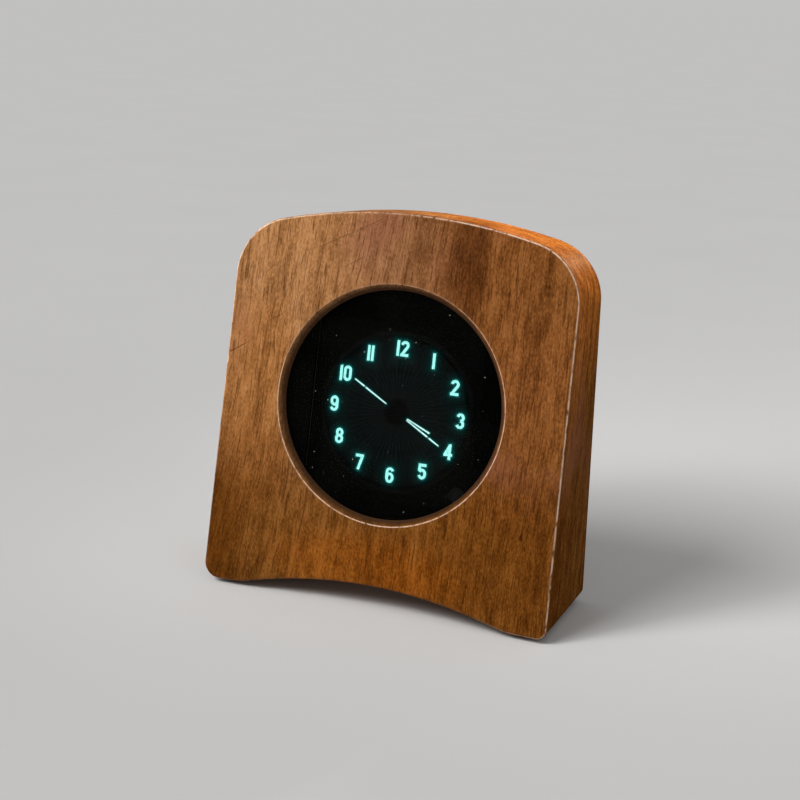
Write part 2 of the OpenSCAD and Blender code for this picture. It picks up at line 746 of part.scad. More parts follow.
// A chip with a row of leads down each long side, drawn lying on the depth 0 and facing back
module chip(length, width, height, leads, pitch) {
    slab(0.15, height - 0.15) square([length, width], center = true);
    for (side = [-1, 1], i = [0:leads - 1])
        slab(0, height * 0.45) translate([(i - (leads - 1) / 2) * pitch, side * (width / 2 + 0.55)])
            square([0.42, 1.3], center = true);
}

module driver_chips() color([0.1, 0.1, 0.1]) on_face()
    for (i = [0:driver_count - 1])
        translate([(i - (driver_count - 1) / 2) * driver_pitch, board_back,
            board_centre + board_height / 4 - 1])
            chip(driver_length, driver_width, driver_height, 14, driver_length / 14.1);

// A low socket that grips the flat cable's end
module cable_socket() slab(0, socket_height) square([socket_width, socket_depth], center = true);

module display_socket() color([0.9, 0.88, 0.8]) on_face()
    translate([0, board_back, display_socket_v]) cable_socket();

module control_socket() color([0.9, 0.88, 0.8]) on_back()
    translate([0, control_front - socket_height, control_socket_z]) cable_socket();

// The flat cable hangs in a loop between the undersides of the two sockets
module flat_cable() color([0.85, 0.85, 0.88]) on_back() {
    down = [-sin(lean), -cos(lean)];
    v = display_socket_v - socket_depth / 2;
    d = board_back + socket_height / 2;
    start = [-half_depth + v * sin(lean) + d * cos(lean), v * cos(lean) - d * sin(lean)];
    finish = [control_front - socket_height / 2, control_socket_z - socket_depth / 2];
    leave = start + straight_end * down;
    arrive = finish - [0, straight_end];
    path = concat([start], curve([leave, leave + 8 * down, arrive - [0, 13], arrive], 20), [finish]);
    translate([-cable_width / 2, 0, 0]) rotate([90, 0, 90])
        linear_extrude(cable_width) polygon(ribbon(path, cable_thickness));
}

module control_board() color([0.05, 0.22, 0.12]) on_back()
    slab(control_front, board_thickness) difference() {
        translate([0, control_centre]) square([control_width, control_height], center = true);
        at_posts() circle(post_screw + screw_play);
    }

module post_screws() color([0.7, 0.7, 0.72]) on_back()
    for (x = [-1, 1], z = [-1, 1])
        translate([x * (control_width / 2 - post_inset), control_front,
            control_centre + z * (control_height / 2 - post_inset)])
            rotate([180, 0, 0]) screw_pair(0, post_screw, board_thickness + 4.5, 1.3);

// Turns a component that is drawn on the depth 0 and faces back to the control board's front
module on_control(x, z) on_back() translate([x, control_front, z]) rotate([0, 0, 180]) children();

module microcontroller() color([0.1, 0.1, 0.1]) on_control(12, control_bottom + 30) {
    slab(0.15, 1.25) square(7, center = true);
    for (turn = [0, 90], side = [-1, 1], i = [0:7])
        slab(0, 0.6) rotate(turn) translate([(i - 3.5) * 0.8, side * 4]) square([0.35, 1.1], center = true);
}

module clock_chip() color([0.1, 0.1, 0.1]) on_control(-1, control_bottom + 31)
    chip(4.9, 3.9, 1.6, 4, 1.27);

module watch_crystal() color([0.75, 0.75, 0.77]) on_control(-1, control_bottom + 25.5) {
    translate([-3, 1, 0]) rotate([0, 90, 0]) cylinder(r = 1, h = 6, $fn = 32);
    slab(0, 0.6) for (side = [-1, 1]) translate([3.7, side * 0.4]) square([1.5, 0.25], center = true);
}

cell_place = [-cell_radius - 7.5, control_bottom + cell_radius + 8];
module cell_holder() color([0.12, 0.12, 0.12]) on_control(cell_place[0], cell_place[1]) {
    slab(0, 1) square(2 * cell_radius + 3, center = true);
    slab(1, cell_thickness - 0.6) difference() {
        square(2 * cell_radius + 3, center = true);
        circle(cell_radius + drop_play);
        translate([0, -cell_radius]) square([cell_radius, 4], center = true);
    }
}

module coin_cell() color([0.78, 0.78, 0.8]) on_control(cell_place[0], cell_place[1]) {
    slab(1, 0.5) circle(cell_radius - 1.2);
    slab(1.5, cell_thickness - 0.5) circle(cell_radius);
}

module cell_clip() color([0.85, 0.75, 0.45]) on_control(cell_place[0], cell_place[1]) {
    slab(1 + cell_thickness, 0.3) square([2 * cell_radius + 3.8, 5], center = true);
    for (side = [-1, 1]) slab(0, 1 + cell_thickness)
        translate([side * (cell_radius + 1.7), 0]) square([0.4, 5], center = true);
}

module boost_inductor() color([0.2, 0.2, 0.21]) on_control(17, control_bottom + 15)
    slab(0, inductor_height) rounded(inductor_width, inductor_width, 2);

module supply_capacitors() color([0.8, 0.8, 0.83])
    for (z = [10.5, 18]) on_control(5.5, control_bottom + z) {
        slab(0, 0.8) square(2 * capacitor_radius + 0.4, center = true);
        slab(0.8, capacitor_height) circle(capacitor_radius);
    }

module boost_transistor() color([0.1, 0.1, 0.1]) on_control(21, control_bottom + 24.5)
    chip(6.5, 3.5, 1.7, 3, 2.3);

module chip_resistors() color([0.14, 0.13, 0.15])
    for (i = [0:5]) on_control(-12 + 3.2 * i - (i > 2 ? 1 : 0) * 20, control_bottom + 34.5)
        slab(0, 0.5) square([1.25, 2], center = true);

// Key switches stand on the back of the control board, under the holes in the cover
module at_keys() translate([0, key_row]) for (x = key_places) translate([x, 0]) children();

module switch_housings() color([0.1, 0.1, 0.1]) on_back() {
    slab(control_back, 0.3) at_keys() square(switch_width, center = true);
    slab(control_back + 0.3, switch_height - 0.3) at_keys() difference() {
        square(switch_width, center = true);
        circle(plunger_radius + plunger_play);
    }
}

module plunger(x) on_back()
    slab(plunger_bottom, plunger_top - plunger_bottom) translate([x, key_row]) circle(plunger_radius);
module mode_plunger() color([0.85, 0.85, 0.82]) plunger(key_places[0]);
module hour_plunger() color([0.85, 0.85, 0.82]) plunger(key_places[1]);
module minute_plunger() color([0.85, 0.85, 0.82]) plunger(key_places[2]);

module key(x) on_back() difference() {
    union() {
        slab(collar_top - collar_thickness, collar_thickness)
            translate([x, key_row]) circle(key_collar);
        slab(collar_top, cover_out + key_height - collar_top)
            translate([x, key_row]) circle(key_radius);
    }
    slab(collar_top - collar_thickness - 1, plunger_top - collar_top + collar_thickness + 1)
        translate([x, key_row]) circle(plunger_radius + thread_play);
}
module mode_key() color([0.75, 0.74, 0.7]) key(key_places[0]);
module hour_key() color([0.75, 0.74, 0.7]) key(key_places[1]);
module minute_key() color([0.75, 0.74, 0.7]) key(key_places[2]);

module back_cover() color([0.1, 0.1, 0.1]) on_back() {
    difference() {
        slab(cover_in, cover_thickness) difference() {
            translate([0, cover_centre]) rounded(cover_width, cover_height, cover_corner);
            at_cover_screws() circle(cover_screw + screw_play);
            at_keys() circle(key_radius + key_play);
            translate([jack_x, jack_z]) circle(jack_barrel + thread_play);
            for (i = [0:vent_count - 1])
                translate([(i - (vent_count - 1) / 2) * vent_pitch, cover_centre + cover_height / 2 - 15])
                    rounded(vent_width, vent_length, vent_width / 2 - 0.01);
        }
        for (x = [-1, 1], z = [-1, 1])
            translate([x * (cover_width / 2 - cover_screw_inset), cover_out,
                cover_centre + z * (cover_height / 2 - cover_screw_inset)])
                screw_head(screw_play);
    }
    slab(control_back, post_length) at_posts() difference() {
        circle(post_radius);
        circle(post_screw + thread_play);
    }
}

// The countersunk head of a cover screw, flush with the cover's outer face
module screw_head(play) rotate([90, 0, 0]) rotate_extrude()
    polygon([[0, 0], [2 * cover_screw + play, 0], [cover_screw + play, cover_screw], [0, cover_screw]]);

module cover_inserts() color([0.8, 0.62, 0.25]) on_back()
    slab(cover_in - insert_length, insert_length) at_cover_screws() difference() {
        circle(insert_radius);
        circle(cover_screw + thread_play);
    }

module cover_screws() color([0.72, 0.72, 0.74]) on_back()
    for (x = [-1, 1], z = [-1, 1])
        translate([x * (cover_width / 2 - cover_screw_inset), 0,
            cover_centre + z * (cover_height / 2 - cover_screw_inset)]) difference() {
            union() {
                translate([0, cover_out, 0]) screw_head(0);
                slab(cover_out - cover_thickness - insert_length + 0.5,
                    cover_thickness + insert_length - 0.5) circle(cover_screw);
            }
            for (turn = [0, 90]) translate([0, cover_out, 0]) rotate([0, turn, 0])
                cube([0.5, 1.4, cover_screw * 2.2], center = true);
        }

// The power inlet: a panel socket for a round plug, clamped to the cover by its nut
module power_jack() color([0.12, 0.12, 0.12]) on_back() difference() {
    union() {
        slab(cover_out, 1.2) translate([jack_x, jack_z]) circle(jack_flange);
        slab(cover_in - 6, cover_thickness + 6) translate([jack_x, jack_z]) circle(jack_barrel);
        slab(jack_back, cover_in - 6 - jack_back) translate([jack_x, jack_z]) circle(jack_barrel - 0.5);
    }
    slab(jack_bottom, jack_depth + 1) translate([jack_x, jack_z]) circle(jack_bore);
    slab(jack_back - 1, jack_depth) translate([jack_x, jack_z])
        circle(jack_pin_radius + thread_play);
}

module jack_pin() color([0.8, 0.8, 0.78]) on_back()
    slab(jack_back - 2, jack_depth + 4) translate([jack_x, jack_z]) circle(jack_pin_radius);

module jack_nut() color([0.75, 0.75, 0.76]) on_back()
    slab(cover_in - 2, 2) translate([jack_x, jack_z]) difference() {
        circle(jack_barrel * 1.5, $fn = 6);
        circle(jack_barrel + thread_play);
    }

tab_offset = jack_barrel - 1.5;
module jack_tab() color([0.8, 0.8, 0.78]) on_back()
    slab(jack_back - 2, 2) translate([jack_x + tab_offset, jack_z]) square([0.5, 2], center = true);

// A round lead along a path: a skin over rings of eight points
module tube_along(path, radius) {
    sides = 8;
    n = len(path);
    points = [for (i = [0:n - 1]) let (
        t = unit(path[min(i + 1, n - 1)] - path[max(i - 1, 0)]),
        across = unit(cross(t, [1, 0, 0])),
        up = cross(t, across))
        for (k = [0:sides - 1])
            path[i] + radius * (cos(360 * k / sides) * across + sin(360 * k / sides) * up)];
    polyhedron(points, concat([[for (k = [0:sides - 1]) k]],
        [for (i = [0:n - 2], k = [0:sides - 1]) let (m = (k + 1) % sides)
            each [[i * sides + k, (i + 1) * sides + k, (i + 1) * sides + m],
                [i * sides + k, (i + 1) * sides + m, i * sides + m]]],
        [[for (k = [sides - 1:-1:0]) (n - 1) * sides + k]]));
}

module power_leads() color([0.7, 0.1, 0.08]) on_back()
    for (across = [0, tab_offset]) {
        start = [jack_x + across, jack_back - 2, jack_z];
        finish = [control_width / 2 - 5.5 + across, control_front, control_bottom + 9];
        leave = start - [0, straight_end, 0];
        arrive = finish - [0, straight_end, 0];
        tube_along(concat([start],
            curve([leave, leave - [0, 2.5, 0], arrive - [0, 5.5, 0], arrive], 16), [finish]),
            lead_radius);
    }

wood_case();
rubber_feet();
window_pane();
display_frame();
frame_screws();
tube_front_glass();
tube_wall();
tube_base_glass();
tube_exhaust_tip();
tube_getter();
numeral_anodes();
lit_hand_anodes();
idle_hand_anodes();
control_grid();
filaments();
filament_anchor();
filament_spring();
tube_pins();
tube_pads();
display_board();
board_inserts();
board_screws();
driver_chips();
display_socket();
flat_cable();
control_socket();
control_board();
post_screws();
microcontroller();
clock_chip();
watch_crystal();
cell_holder();
coin_cell();
cell_clip();
boost_inductor();
supply_capacitors();
boost_transistor();
chip_resistors();
switch_housings();
mode_plunger();
hour_plunger();
minute_plunger();
mode_key();
hour_key();
minute_key();
back_cover();
cover_inserts();
cover_screws();
power_jack();
jack_pin();
jack_nut();
jack_tab();
power_leads();
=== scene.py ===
"""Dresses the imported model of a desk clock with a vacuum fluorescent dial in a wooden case.

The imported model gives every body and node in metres: Z is up, the dial looks along -Y, and the
origin lies on the table under the case. This script adds the worked wooden case, the lit dial
and the fittings of the back as new surfaces, gives every node its finish, and sets a plain
studio with a camera at the photograph's angle.
"""

from __future__ import annotations

import logging
import math
from dataclasses import dataclass, field
from enum import Enum
from typing import Any, Sequence, Union

import bmesh
import bpy
import numpy as np
from mathutils import Matrix


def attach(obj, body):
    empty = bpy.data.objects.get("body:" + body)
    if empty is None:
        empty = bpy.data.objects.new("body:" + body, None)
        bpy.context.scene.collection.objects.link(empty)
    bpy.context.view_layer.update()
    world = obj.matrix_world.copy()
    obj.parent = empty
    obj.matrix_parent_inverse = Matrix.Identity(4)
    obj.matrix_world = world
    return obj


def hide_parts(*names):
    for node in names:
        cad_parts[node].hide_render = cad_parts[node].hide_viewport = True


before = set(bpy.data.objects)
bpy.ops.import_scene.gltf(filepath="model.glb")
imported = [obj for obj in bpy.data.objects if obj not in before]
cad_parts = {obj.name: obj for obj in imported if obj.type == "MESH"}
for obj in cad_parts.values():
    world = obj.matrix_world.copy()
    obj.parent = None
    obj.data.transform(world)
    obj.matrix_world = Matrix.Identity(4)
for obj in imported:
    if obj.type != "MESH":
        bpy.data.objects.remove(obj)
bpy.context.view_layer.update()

LOG = logging.getLogger("clock")
MM = 0.001
CLOCK = "clock"

Colour = tuple[float, float, float]
Point = tuple[float, float, float]
Array = np.ndarray


def shade(red: int, green: int, blue: int) -> Colour:
    """Turns a colour as a screen shows it, 0 to 255, into the linear values that shaders use."""
    parts = [c / 255 for c in (red, green, blue)]
    linear = [c / 12.92 if c <= 0.04045 else ((c + 0.055) / 1.055) ** 2.4 for c in parts]
    return (linear[0], linear[1], linear[2])


def scaled(colour: Colour, share: float) -> Colour:
    """A colour with each of its parts times a share."""
    return (colour[0] * share, colour[1] * share, colour[2] * share)


def linked(name: str, data: bpy.types.ID) -> bpy.types.Object:
    """A new object of the scene that shows a mesh, a lamp or a camera."""
    made = bpy.data.objects.new(name, data)
    bpy.context.scene.collection.objects.link(made)
    return made


# Shader maths


class Value:
    """A number that varies over a surface: a node's socket that takes part in Python sums."""

    def __init__(self, graph: "Graph", socket: bpy.types.NodeSocket) -> None:
        """Wraps a graph's output socket that gives a number."""
        self.graph = graph
        self.socket = socket

    def _math(self, operation: str, *others: "Operand") -> "Value":
        """Adds one Math node with this value as its first input."""
        node = self.graph.node(
            "ShaderNodeMath", {"operation": operation}, dict(enumerate((self, *others)))
        )
        return Value(self.graph, node.outputs[0])

    def __add__(self, other: "Operand") -> "Value":
        """This value plus another."""
        return self._math("ADD", other)

    __radd__ = __add__

    def __sub__(self, other: "Operand") -> "Value":
        """This value minus another."""
        return self._math("SUBTRACT", other)

    def __rsub__(self, other: "Operand") -> "Value":
        """Another number minus this value."""
        return self._math("MULTIPLY", -1.0) + other

    def __mul__(self, other: "Operand") -> "Value":
        """This value times another."""
        return self._math("MULTIPLY", other)

    __rmul__ = __mul__

    def __truediv__(self, other: "Operand") -> "Value":
        """This value divided by another."""
        return self._math("DIVIDE", other)

    def __abs__(self) -> "Value":
        """This value without its sign."""
        return self._math("ABSOLUTE")

    def least(self, other: "Operand") -> "Value":
        """The smaller of this value and another."""
        return self._math("MINIMUM", other)

    def most(self, other: "Operand") -> "Value":
        """The larger of this value and another."""
        return self._math("MAXIMUM", other)

    def rise(self, low: float, high: float) -> "Value":
        """A smooth step: 0 below `low`, 1 above `high`, or the other way round if low > high."""
        start, end, first, last = (low, high, 0.0, 1.0) if low < high else (high, low, 1.0, 0.0)
        node = self.graph.node(
            "ShaderNodeMapRange",
            {"interpolation_type": "SMOOTHSTEP"},
            {0: self, 1: start, 2: end, 3: first, 4: last},
        )
        return Value(self.graph, node.outputs[0])


Operand = Union[Value, float]
Link = Union[Value, bpy.types.NodeSocket, float, Sequence[float]]


class Graph:
    """The node graph of one material, with a Principled shader at its end."""

    def __init__(self, name: str) -> None:
        """Starts an empty material of that name."""
        self.material = bpy.data.materials.new(name)
        self.material.use_nodes = True
        self.tree = self.material.node_tree
        self.tree.nodes.clear()
        self.shader = self.node("ShaderNodeBsdfPrincipled")
        self.node("ShaderNodeOutputMaterial", {}, {"Surface": self.shader.outputs[0]})

    def node(
        self,
        kind: str,
        settings: dict[str, Any] | None = None,
        inputs: dict[str | int, Link] | None = None,
    ) -> bpy.types.Node:
        """Adds a node, sets it up and fills its sockets.

        Args:
            kind: The node's type.
            settings: Properties that are set first. `stops` fills a colour ramp with pairs of
                a place and a colour.
            inputs: Values or links of the sockets, by name or number.

        Returns:
            The new node.
        """
        made = self.tree.nodes.new(kind)
        for key, value in (settings or {}).items():
            if key == "stops":
                ramp = made.color_ramp.elements
                while len(ramp) < len(value):
                    ramp.new(0.5)
                for element, (place, colour) in zip(ramp, value):
                    element.position = place
                    element.color = (*colour, 1.0)
            else:
                setattr(made, key, value)
        for key, value in (inputs or {}).items():
            self.feed(made.inputs[key], value)
        return made

    def feed(self, socket: bpy.types.NodeSocket, value: Link) -> None:
        """Links a value to a socket, or sets the socket's own number or colour.

        Args:
            socket: The input socket.
            value: A Value, an output socket, a number or a colour.
        """
        if isinstance(value, Value):
            self.tree.links.new(value.socket, socket)
        elif isinstance(value, bpy.types.NodeSocket):
            self.tree.links.new(value, socket)
        elif hasattr(socket.default_value, "__len__") and not isinstance(value, (int, float)):
            parts = list(value)
            socket.default_value = parts + [1.0] * (len(socket.default_value) - len(parts))
        else:
            socket.default_value = value

    def mapped(self, where: bpy.types.NodeSocket, **settings: Link) -> bpy.types.NodeSocket:
        """A point after a Mapping node with the given Location, Rotation and Scale."""
        return self.node("ShaderNodeMapping", {}, {"Vector": where, **settings}).outputs[0]

    def place(self, turn: float = 0.0, move: Point = (0.0, 0.0, 0.0)) -> bpy.types.NodeSocket:
        """The point on the surface in millimetres, turned about X in degrees and then moved."""
        where = self.node("ShaderNodeTexCoord").outputs["Object"]
        angles = (math.radians(turn), 0.0, 0.0)
        return self.mapped(where, Location=move, Rotation=angles, Scale=(1 / MM,) * 3)

    def parts(self, vector: bpy.types.NodeSocket) -> tuple[Value, Value, Value]:
        """The three numbers of a vector."""
        split = self.node("ShaderNodeSeparateXYZ", {}, {0: vector})
        x, y, z = (Value(self, socket) for socket in split.outputs)
        return x, y, z

    def joined(self, x: Operand, y: Operand, z: Operand) -> bpy.types.NodeSocket:
        """A vector from three numbers."""
        return self.node("ShaderNodeCombineXYZ", {}, {0: x, 1: y, 2: z}).outputs[0]

    def noise(
        self,
        where: bpy.types.NodeSocket,
        sizes: Sequence[float],
        detail: float = 2.0,
        roughness: float = 0.5,
        offset: float = 0.0,
    ) -> Value:
        """Cloudy noise about 0.5, with its own grain size along each axis.

        Args:
            where: The point, in millimetres.
            sizes: Size of the clouds along the three axes, in millimetres.
            detail: Number of finer layers.
            roughness: Strength of the finer layers.
            offset: Moves the pattern, so that two noises differ.

        Returns:
            The noise.
        """
        fine = self.mapped(where, Location=(offset,) * 3, Scale=[1 / s for s in sizes])
        inputs = {"Vector": fine, "Scale": 1.0, "Detail": detail, "Roughness": roughness}
        return Value(self, self.node("ShaderNodeTexNoise", {}, inputs).outputs["Fac"])

    def cloud(self, size: float, *settings: float) -> Value:
        """Noise with one grain size along all axes. The settings go on to `noise`."""
        return self.noise(self.place(), (size,) * 3, *settings)

    def cells(self, where: Link, scale: float, **settings: Any) -> bpy.types.Node:
        """A pattern of uneven cells, as a Voronoi node with its own settings."""
        return self.node("ShaderNodeTexVoronoi", settings, {"Vector": where, "Scale": scale})

    def attribute(self, name: str) -> Value:
        """A number kept on the mesh under a name."""
        return Value(self, self.node("ShaderNodeAttribute", {"attribute_name": name}).outputs["Fac"])

    def ramp(self, value: Link, stops: Sequence[tuple[float, Colour]]) -> bpy.types.NodeSocket:
        """A colour read at a value from a ramp, whose stops pair a place with a colour."""
        return self.node("ShaderNodeValToRGB", {"stops": list(stops)}, {0: value}).outputs[0]

    def mix(
        self, factor: Link, first: Link, second: Link, blend: str = "MIX"
    ) -> bpy.types.NodeSocket:
        """Mixes two colours. The factor is the share of the second."""
        settings = {"data_type": "RGBA", "blend_type": blend}
        return self.node("ShaderNodeMix", settings, {0: factor, 6: first, 7: second}).outputs[2]

    def bump(self, height: Value, depth: float, below: Link | None = None) -> bpy.types.NodeSocket:
        """A normal that follows a height.

        Args:
            height: The height, 0 to 1.
            depth: The height's range in millimetres.
            below: Another bump's normal that this one lies on.

        Returns:
            The normal socket.
        """
        inputs: dict[str | int, Link] = {"Height": height, "Distance": depth * MM, "Strength": 1.0}
        if below is not None:
            inputs["Normal"] = below
        return self.node("ShaderNodeBump", {}, inputs).outputs[0]

    def finish(self, **sockets: Link) -> bpy.types.Material:
        """Feeds the shader's sockets, named with underscores, and hands the material over."""
        for key, value in sockets.items():
            name = {"ior_level": "Specular IOR Level"}.get(key, key.replace("_", " ").title())
            self.feed(self.shader.inputs[name], value)
        return self.material


# Finishes


@dataclass(frozen=True)
class Scratch:
    """A hairline scratch on the wooden face, from one point to another, in millimetres."""

    start: tuple[float, float]
    end: tuple[float, float]
    width: float = 0.16
    depth: float = 0.6

    def mask(self, across: Value, up: Value, waver: Value) -> Value:
        """1 on the scratch and 0 off it: near its line, and between its ends.

        Args:
            across: Distance across the face.
            up: Distance up the face.
            waver: A small shift that makes the line unsteady.

        Returns:
            The mask.
        """
        run = np.subtract(self.end, self.start)
        length = float(np.hypot(*run))
        c, s = run / length
        along = (across - self.start[0]) * float(c) + (up - self.start[1]) * float(s)
        off = abs((up - self.start[1]) * float(c) - (across - self.start[0]) * float(s) + waver)
        ends = along.rise(-0.4, 1.5) * along.rise(length + 0.4, length - 1.5)
        return off.rise(self.width, self.width * 0.3) * ends * self.depth


@dataclass(frozen=True)
class Spot:
    """An ellipse on the wooden face, in millimetres: its middle and its two half widths."""

    across: float
    up: float
    width: float
    height: float

    def away(self, across: Value, up: Value) -> Value:
        """How far a point lies from the middle, squared: 0 there and 1 on the ellipse."""
        x = (across - self.across) / self.width
        y = (up - self.up) / self.height
        return x * x + y * y


@dataclass(frozen=True)
class Knot(Spot):
    """A small dark pin knot on the wooden face."""

    def mask(self, across: Value, up: Value) -> Value:
        """1 in the middle of the knot, falling to 0 beyond its edge."""
        return self.away(across, up).rise(1.6, 0.1)


@dataclass(frozen=True)
class Patch(Spot):
    """A soft patch of another tint behind the face: partly a real change of tone in the timber, partly
    painted light and shade. The tint multiplies the wood's own colour, so the grain runs on through the
    patch."""

    tint: Colour

    def lay(
        self, graph: Graph, colour: bpy.types.NodeSocket, across: Value, up: Value, fade: Value
    ) -> bpy.types.NodeSocket:
        """Tints the wood within an ellipse with a soft border.

        Args:
            graph: The wood's graph.
            colour: The wood's colour so far.
            across: Distance across the face.
            up: Distance up the face.
            fade: 1 near the face, falling to 0 behind it.

        Returns:
            The colour with the patch.
        """
        inside = self.away(across, up).rise(1.7, 0.0)
        return graph.mix(inside * fade, colour, self.tint, "MULTIPLY")


@dataclass(frozen=True)
class OiledWood:
    """Reddish-brown open-pored hardwood, oiled and rubbed, with its grain up the face."""

    plane: "FacePlane"
    heart: tuple[Colour, ...] = (
        shade(60, 30, 7),
        shade(96, 57, 21),
        shade(121, 75, 31),
        shade(144, 98, 48),
    )
    # Paler colours used on the upper left: partly real sapwood, partly painted light that brightens
    # that side.
    sap_and_light: tuple[Colour, ...] = (
        shade(86, 52, 25),
        shade(127, 86, 50),
        shade(150, 105, 66),
        shade(172, 128, 88),
    )
    # A rosy tint: partly the wood's own, partly a painted pinkish sheen on the upper face.
    rosy_tint_and_sheen: Colour = shade(132, 84, 60)
    pore: Colour = shade(58, 27, 8)
    # Pale colour of the rounded edges: partly real wear, partly a painted highlight.
    worn_and_lit: Colour = shade(242, 208, 180)
    # Colour of the window's bore: painted shade that deepens towards the pane.
    bore: Colour = shade(52, 37, 27)
    stops: tuple[float, ...] = (0.0, 0.38, 0.62, 1.0)
    # Partly real tone, partly painted light and shade: darker at the lower corners, greyer and bluer
    # towards the top.
    patches: tuple[Patch, ...] = (
        Patch(22.5, 114.0, 6.5, 22.0, (0.62, 0.57, 0.55)),
        Patch(-59.0, 6.0, 12.0, 40.0, (0.62, 0.53, 0.38)),
        Patch(44.0, 16.0, 44.0, 34.0, (0.88, 0.79, 0.62)),
        Patch(-2.0, 12.0, 32.0, 11.0, (1.27, 1.06, 0.7)),
        Patch(2.0, 117.0, 24.0, 16.0, (0.82, 0.8, 0.94)),
        Patch(38.0, 92.0, 28.0, 50.0, (1.04, 1.0, 1.28)),
        Patch(54.0, 62.0, 22.0, 36.0, (1.14, 1.12, 1.15)),
        Patch(-46.0, 62.0, 16.0, 32.0, (1.05, 0.95, 0.76)),
    )
    scratches: tuple[Scratch, ...] = (
        Scratch((-59.0, 76.3), (-51.8, 80.9), 0.2, 0.8),
        Scratch((-45.2, 88.8), (-39.6, 92.0), 0.16, 0.6),
        Scratch((-30.0, 114.6), (-8.9, 125.6), 0.16, 0.55),
        Scratch((-21.4, 108.4), (-12.5, 113.8), 0.15, 0.6),
        Scratch((-49.1, 103.9), (-43.0, 108.9), 0.13, 0.4),
        Scratch((-24.0, 117.6), (-4.0, 127.0), 0.12, 0.35),
    )
    knots: tuple[Knot, ...] = (
        Knot(48.6, 31.1, 0.5, 1.1),
        Knot(50.2, 27.6, 0.35, 0.7),
        Knot(56.9, 23.3, 0.3, 0.5),
        Knot(54.9, 15.8, 0.6, 0.35),
    )

    def place(self, g: Graph) -> bpy.types.NodeSocket:
        """The point across, behind and up the leaning face, in millimetres."""
        s, c = self.plane.slope
        back, lift = self.plane.half_depth, self.plane.lift
        return g.place(self.plane.lean, (0.0, back * c + lift * s, back * s - lift * c))

    def grain(self, g: Graph, raw: bpy.types.NodeSocket) -> tuple[Value, Value, Value]:
        """The figure of the wood: tone, fibres and pores. The layers follow the depth behind
        the face, and the streaks lean to the right as they rise, more so on the left.

        Args:
            g: The wood's graph.
            raw: The point across, behind and up the face.

        Returns:
            The tone about 0.5, the fibres about 0.5, and the pores from 0 to 1.
        """
        across, depth, up = g.parts(raw)
        sway = g.noise(raw, (50, 30, 95), 1.5) - 0.5
        ripple = g.noise(raw, (7, 7, 16), 2.0, 0.5, 11.0) - 0.5
        slanted = across - up * (0.055 - across * 0.0007) + sway * 9.0 + ripple * 1.6
        where = g.joined(slanted, depth, up)
        broad = g.noise(where, (8, 3.4, 90), 3.0, 0.55) - 0.5
        streak = g.noise(where, (2.0, 1.0, 26), 3.0, 0.62, 17.0) - 0.5
        mottle = g.noise(raw, (3.2, 2.6, 7.0), 4.0, 0.66, 23.0) - 0.5
        fibre = g.noise(where, (0.5, 0.5, 6.0), 3.0, 0.68, 31.0)
        speck = g.noise(raw, (0.6, 0.6, 1.2), 1.0, 0.5, 37.0) - 0.5
        crowd = g.noise(where, (4, 3, 22), 2.0, 0.6, 43.0) - 0.5
        drawn = abs(g.noise(where, (1.2, 1.1, 36), 1.5, 0.5, 59.0) - 0.5).rise(0.045, 0.008)
        broken = (g.noise(where, (1.3, 1.0, 11), 1.0, 0.5, 71.0) + crowd * 0.6).rise(0.48, 0.56)
        dots = (g.noise(where, (0.42, 0.5, 4.2), 1.0, 0.5, 83.0) + crowd * 0.5).rise(0.64, 0.74)
        pores = (drawn * broken).most(dots * 0.35)
        coarse = broad * 0.85 + streak * 0.55 + mottle * 0.95
        tone = coarse + (fibre - 0.5) * 0.85 + speck * 0.8 + 0.52
        return tone, fibre, pores

    def marks(self, g: Graph, raw: bpy.types.NodeSocket) -> Value:
        """The face's scratches and knots, from 0 to 1."""
        across, depth, up = g.parts(raw)
        waver = (g.noise(raw, (2.5, 2.5, 2.5), 1.0, 0.5, 3.0) - 0.5) * 0.5
        marks = self.scratches[0].mask(across, up, waver)
        for scratch in self.scratches[1:]:
            marks = marks.most(scratch.mask(across, up, waver))
        for knot in self.knots:
            marks = marks.most(knot.mask(across, up) * 0.75)
        return marks * depth.rise(0.35, 0.05)

    def build(self) -> bpy.types.Material:
        """Makes the wood: its figure, patches of tint that are partly real tone and partly painted
        light and shade, scratches, pale edges that are partly wear and partly painted highlight, and
        painted shade in the bore.
        """
        g = Graph("oiled_wood")
        raw = self.place(g)
        across, depth, up = g.parts(raw)
        tone, fibre, pores = self.grain(g, raw)
        marks = self.marks(g, raw)
        patch = g.noise(raw, (30, 26, 36), 2.0, 0.5, 7.0)
        heart, sap_and_light = (g.ramp(tone, list(zip(self.stops, c))) for c in (self.heart, self.sap_and_light))
        # The upper left turns to the paler colours: partly real sapwood, partly painted light from the
        # left.
        left = (across + (patch - 0.5) * 24.0).rise(26.0, -18.0)
        high = (up + (patch - 0.5) * 30.0).rise(26.0, 62.0)
        colour = g.mix(left * high * depth.rise(46.0, 4.0), heart, sap_and_light)
        # Rosy patches on the upper face: partly the wood's own tint, partly a painted sheen.
        colour = g.mix(patch.rise(0.5, 0.7) * high * 0.4, colour, self.rosy_tint_and_sheen)
        fade = depth.rise(24.0, 3.0)
        # Patches of partly real tone and partly painted light and shade.
        for area in self.patches:
            colour = area.lay(g, colour, across, up, fade)
        colour = g.mix(pores * 0.58, colour, self.pore)
        colour = g.mix(marks, colour, self.pore)
        # Painted shade in the window's bore, kept on the mesh as 'bore'.
        colour = g.mix(g.attribute("bore") * 0.88, colour, self.bore)
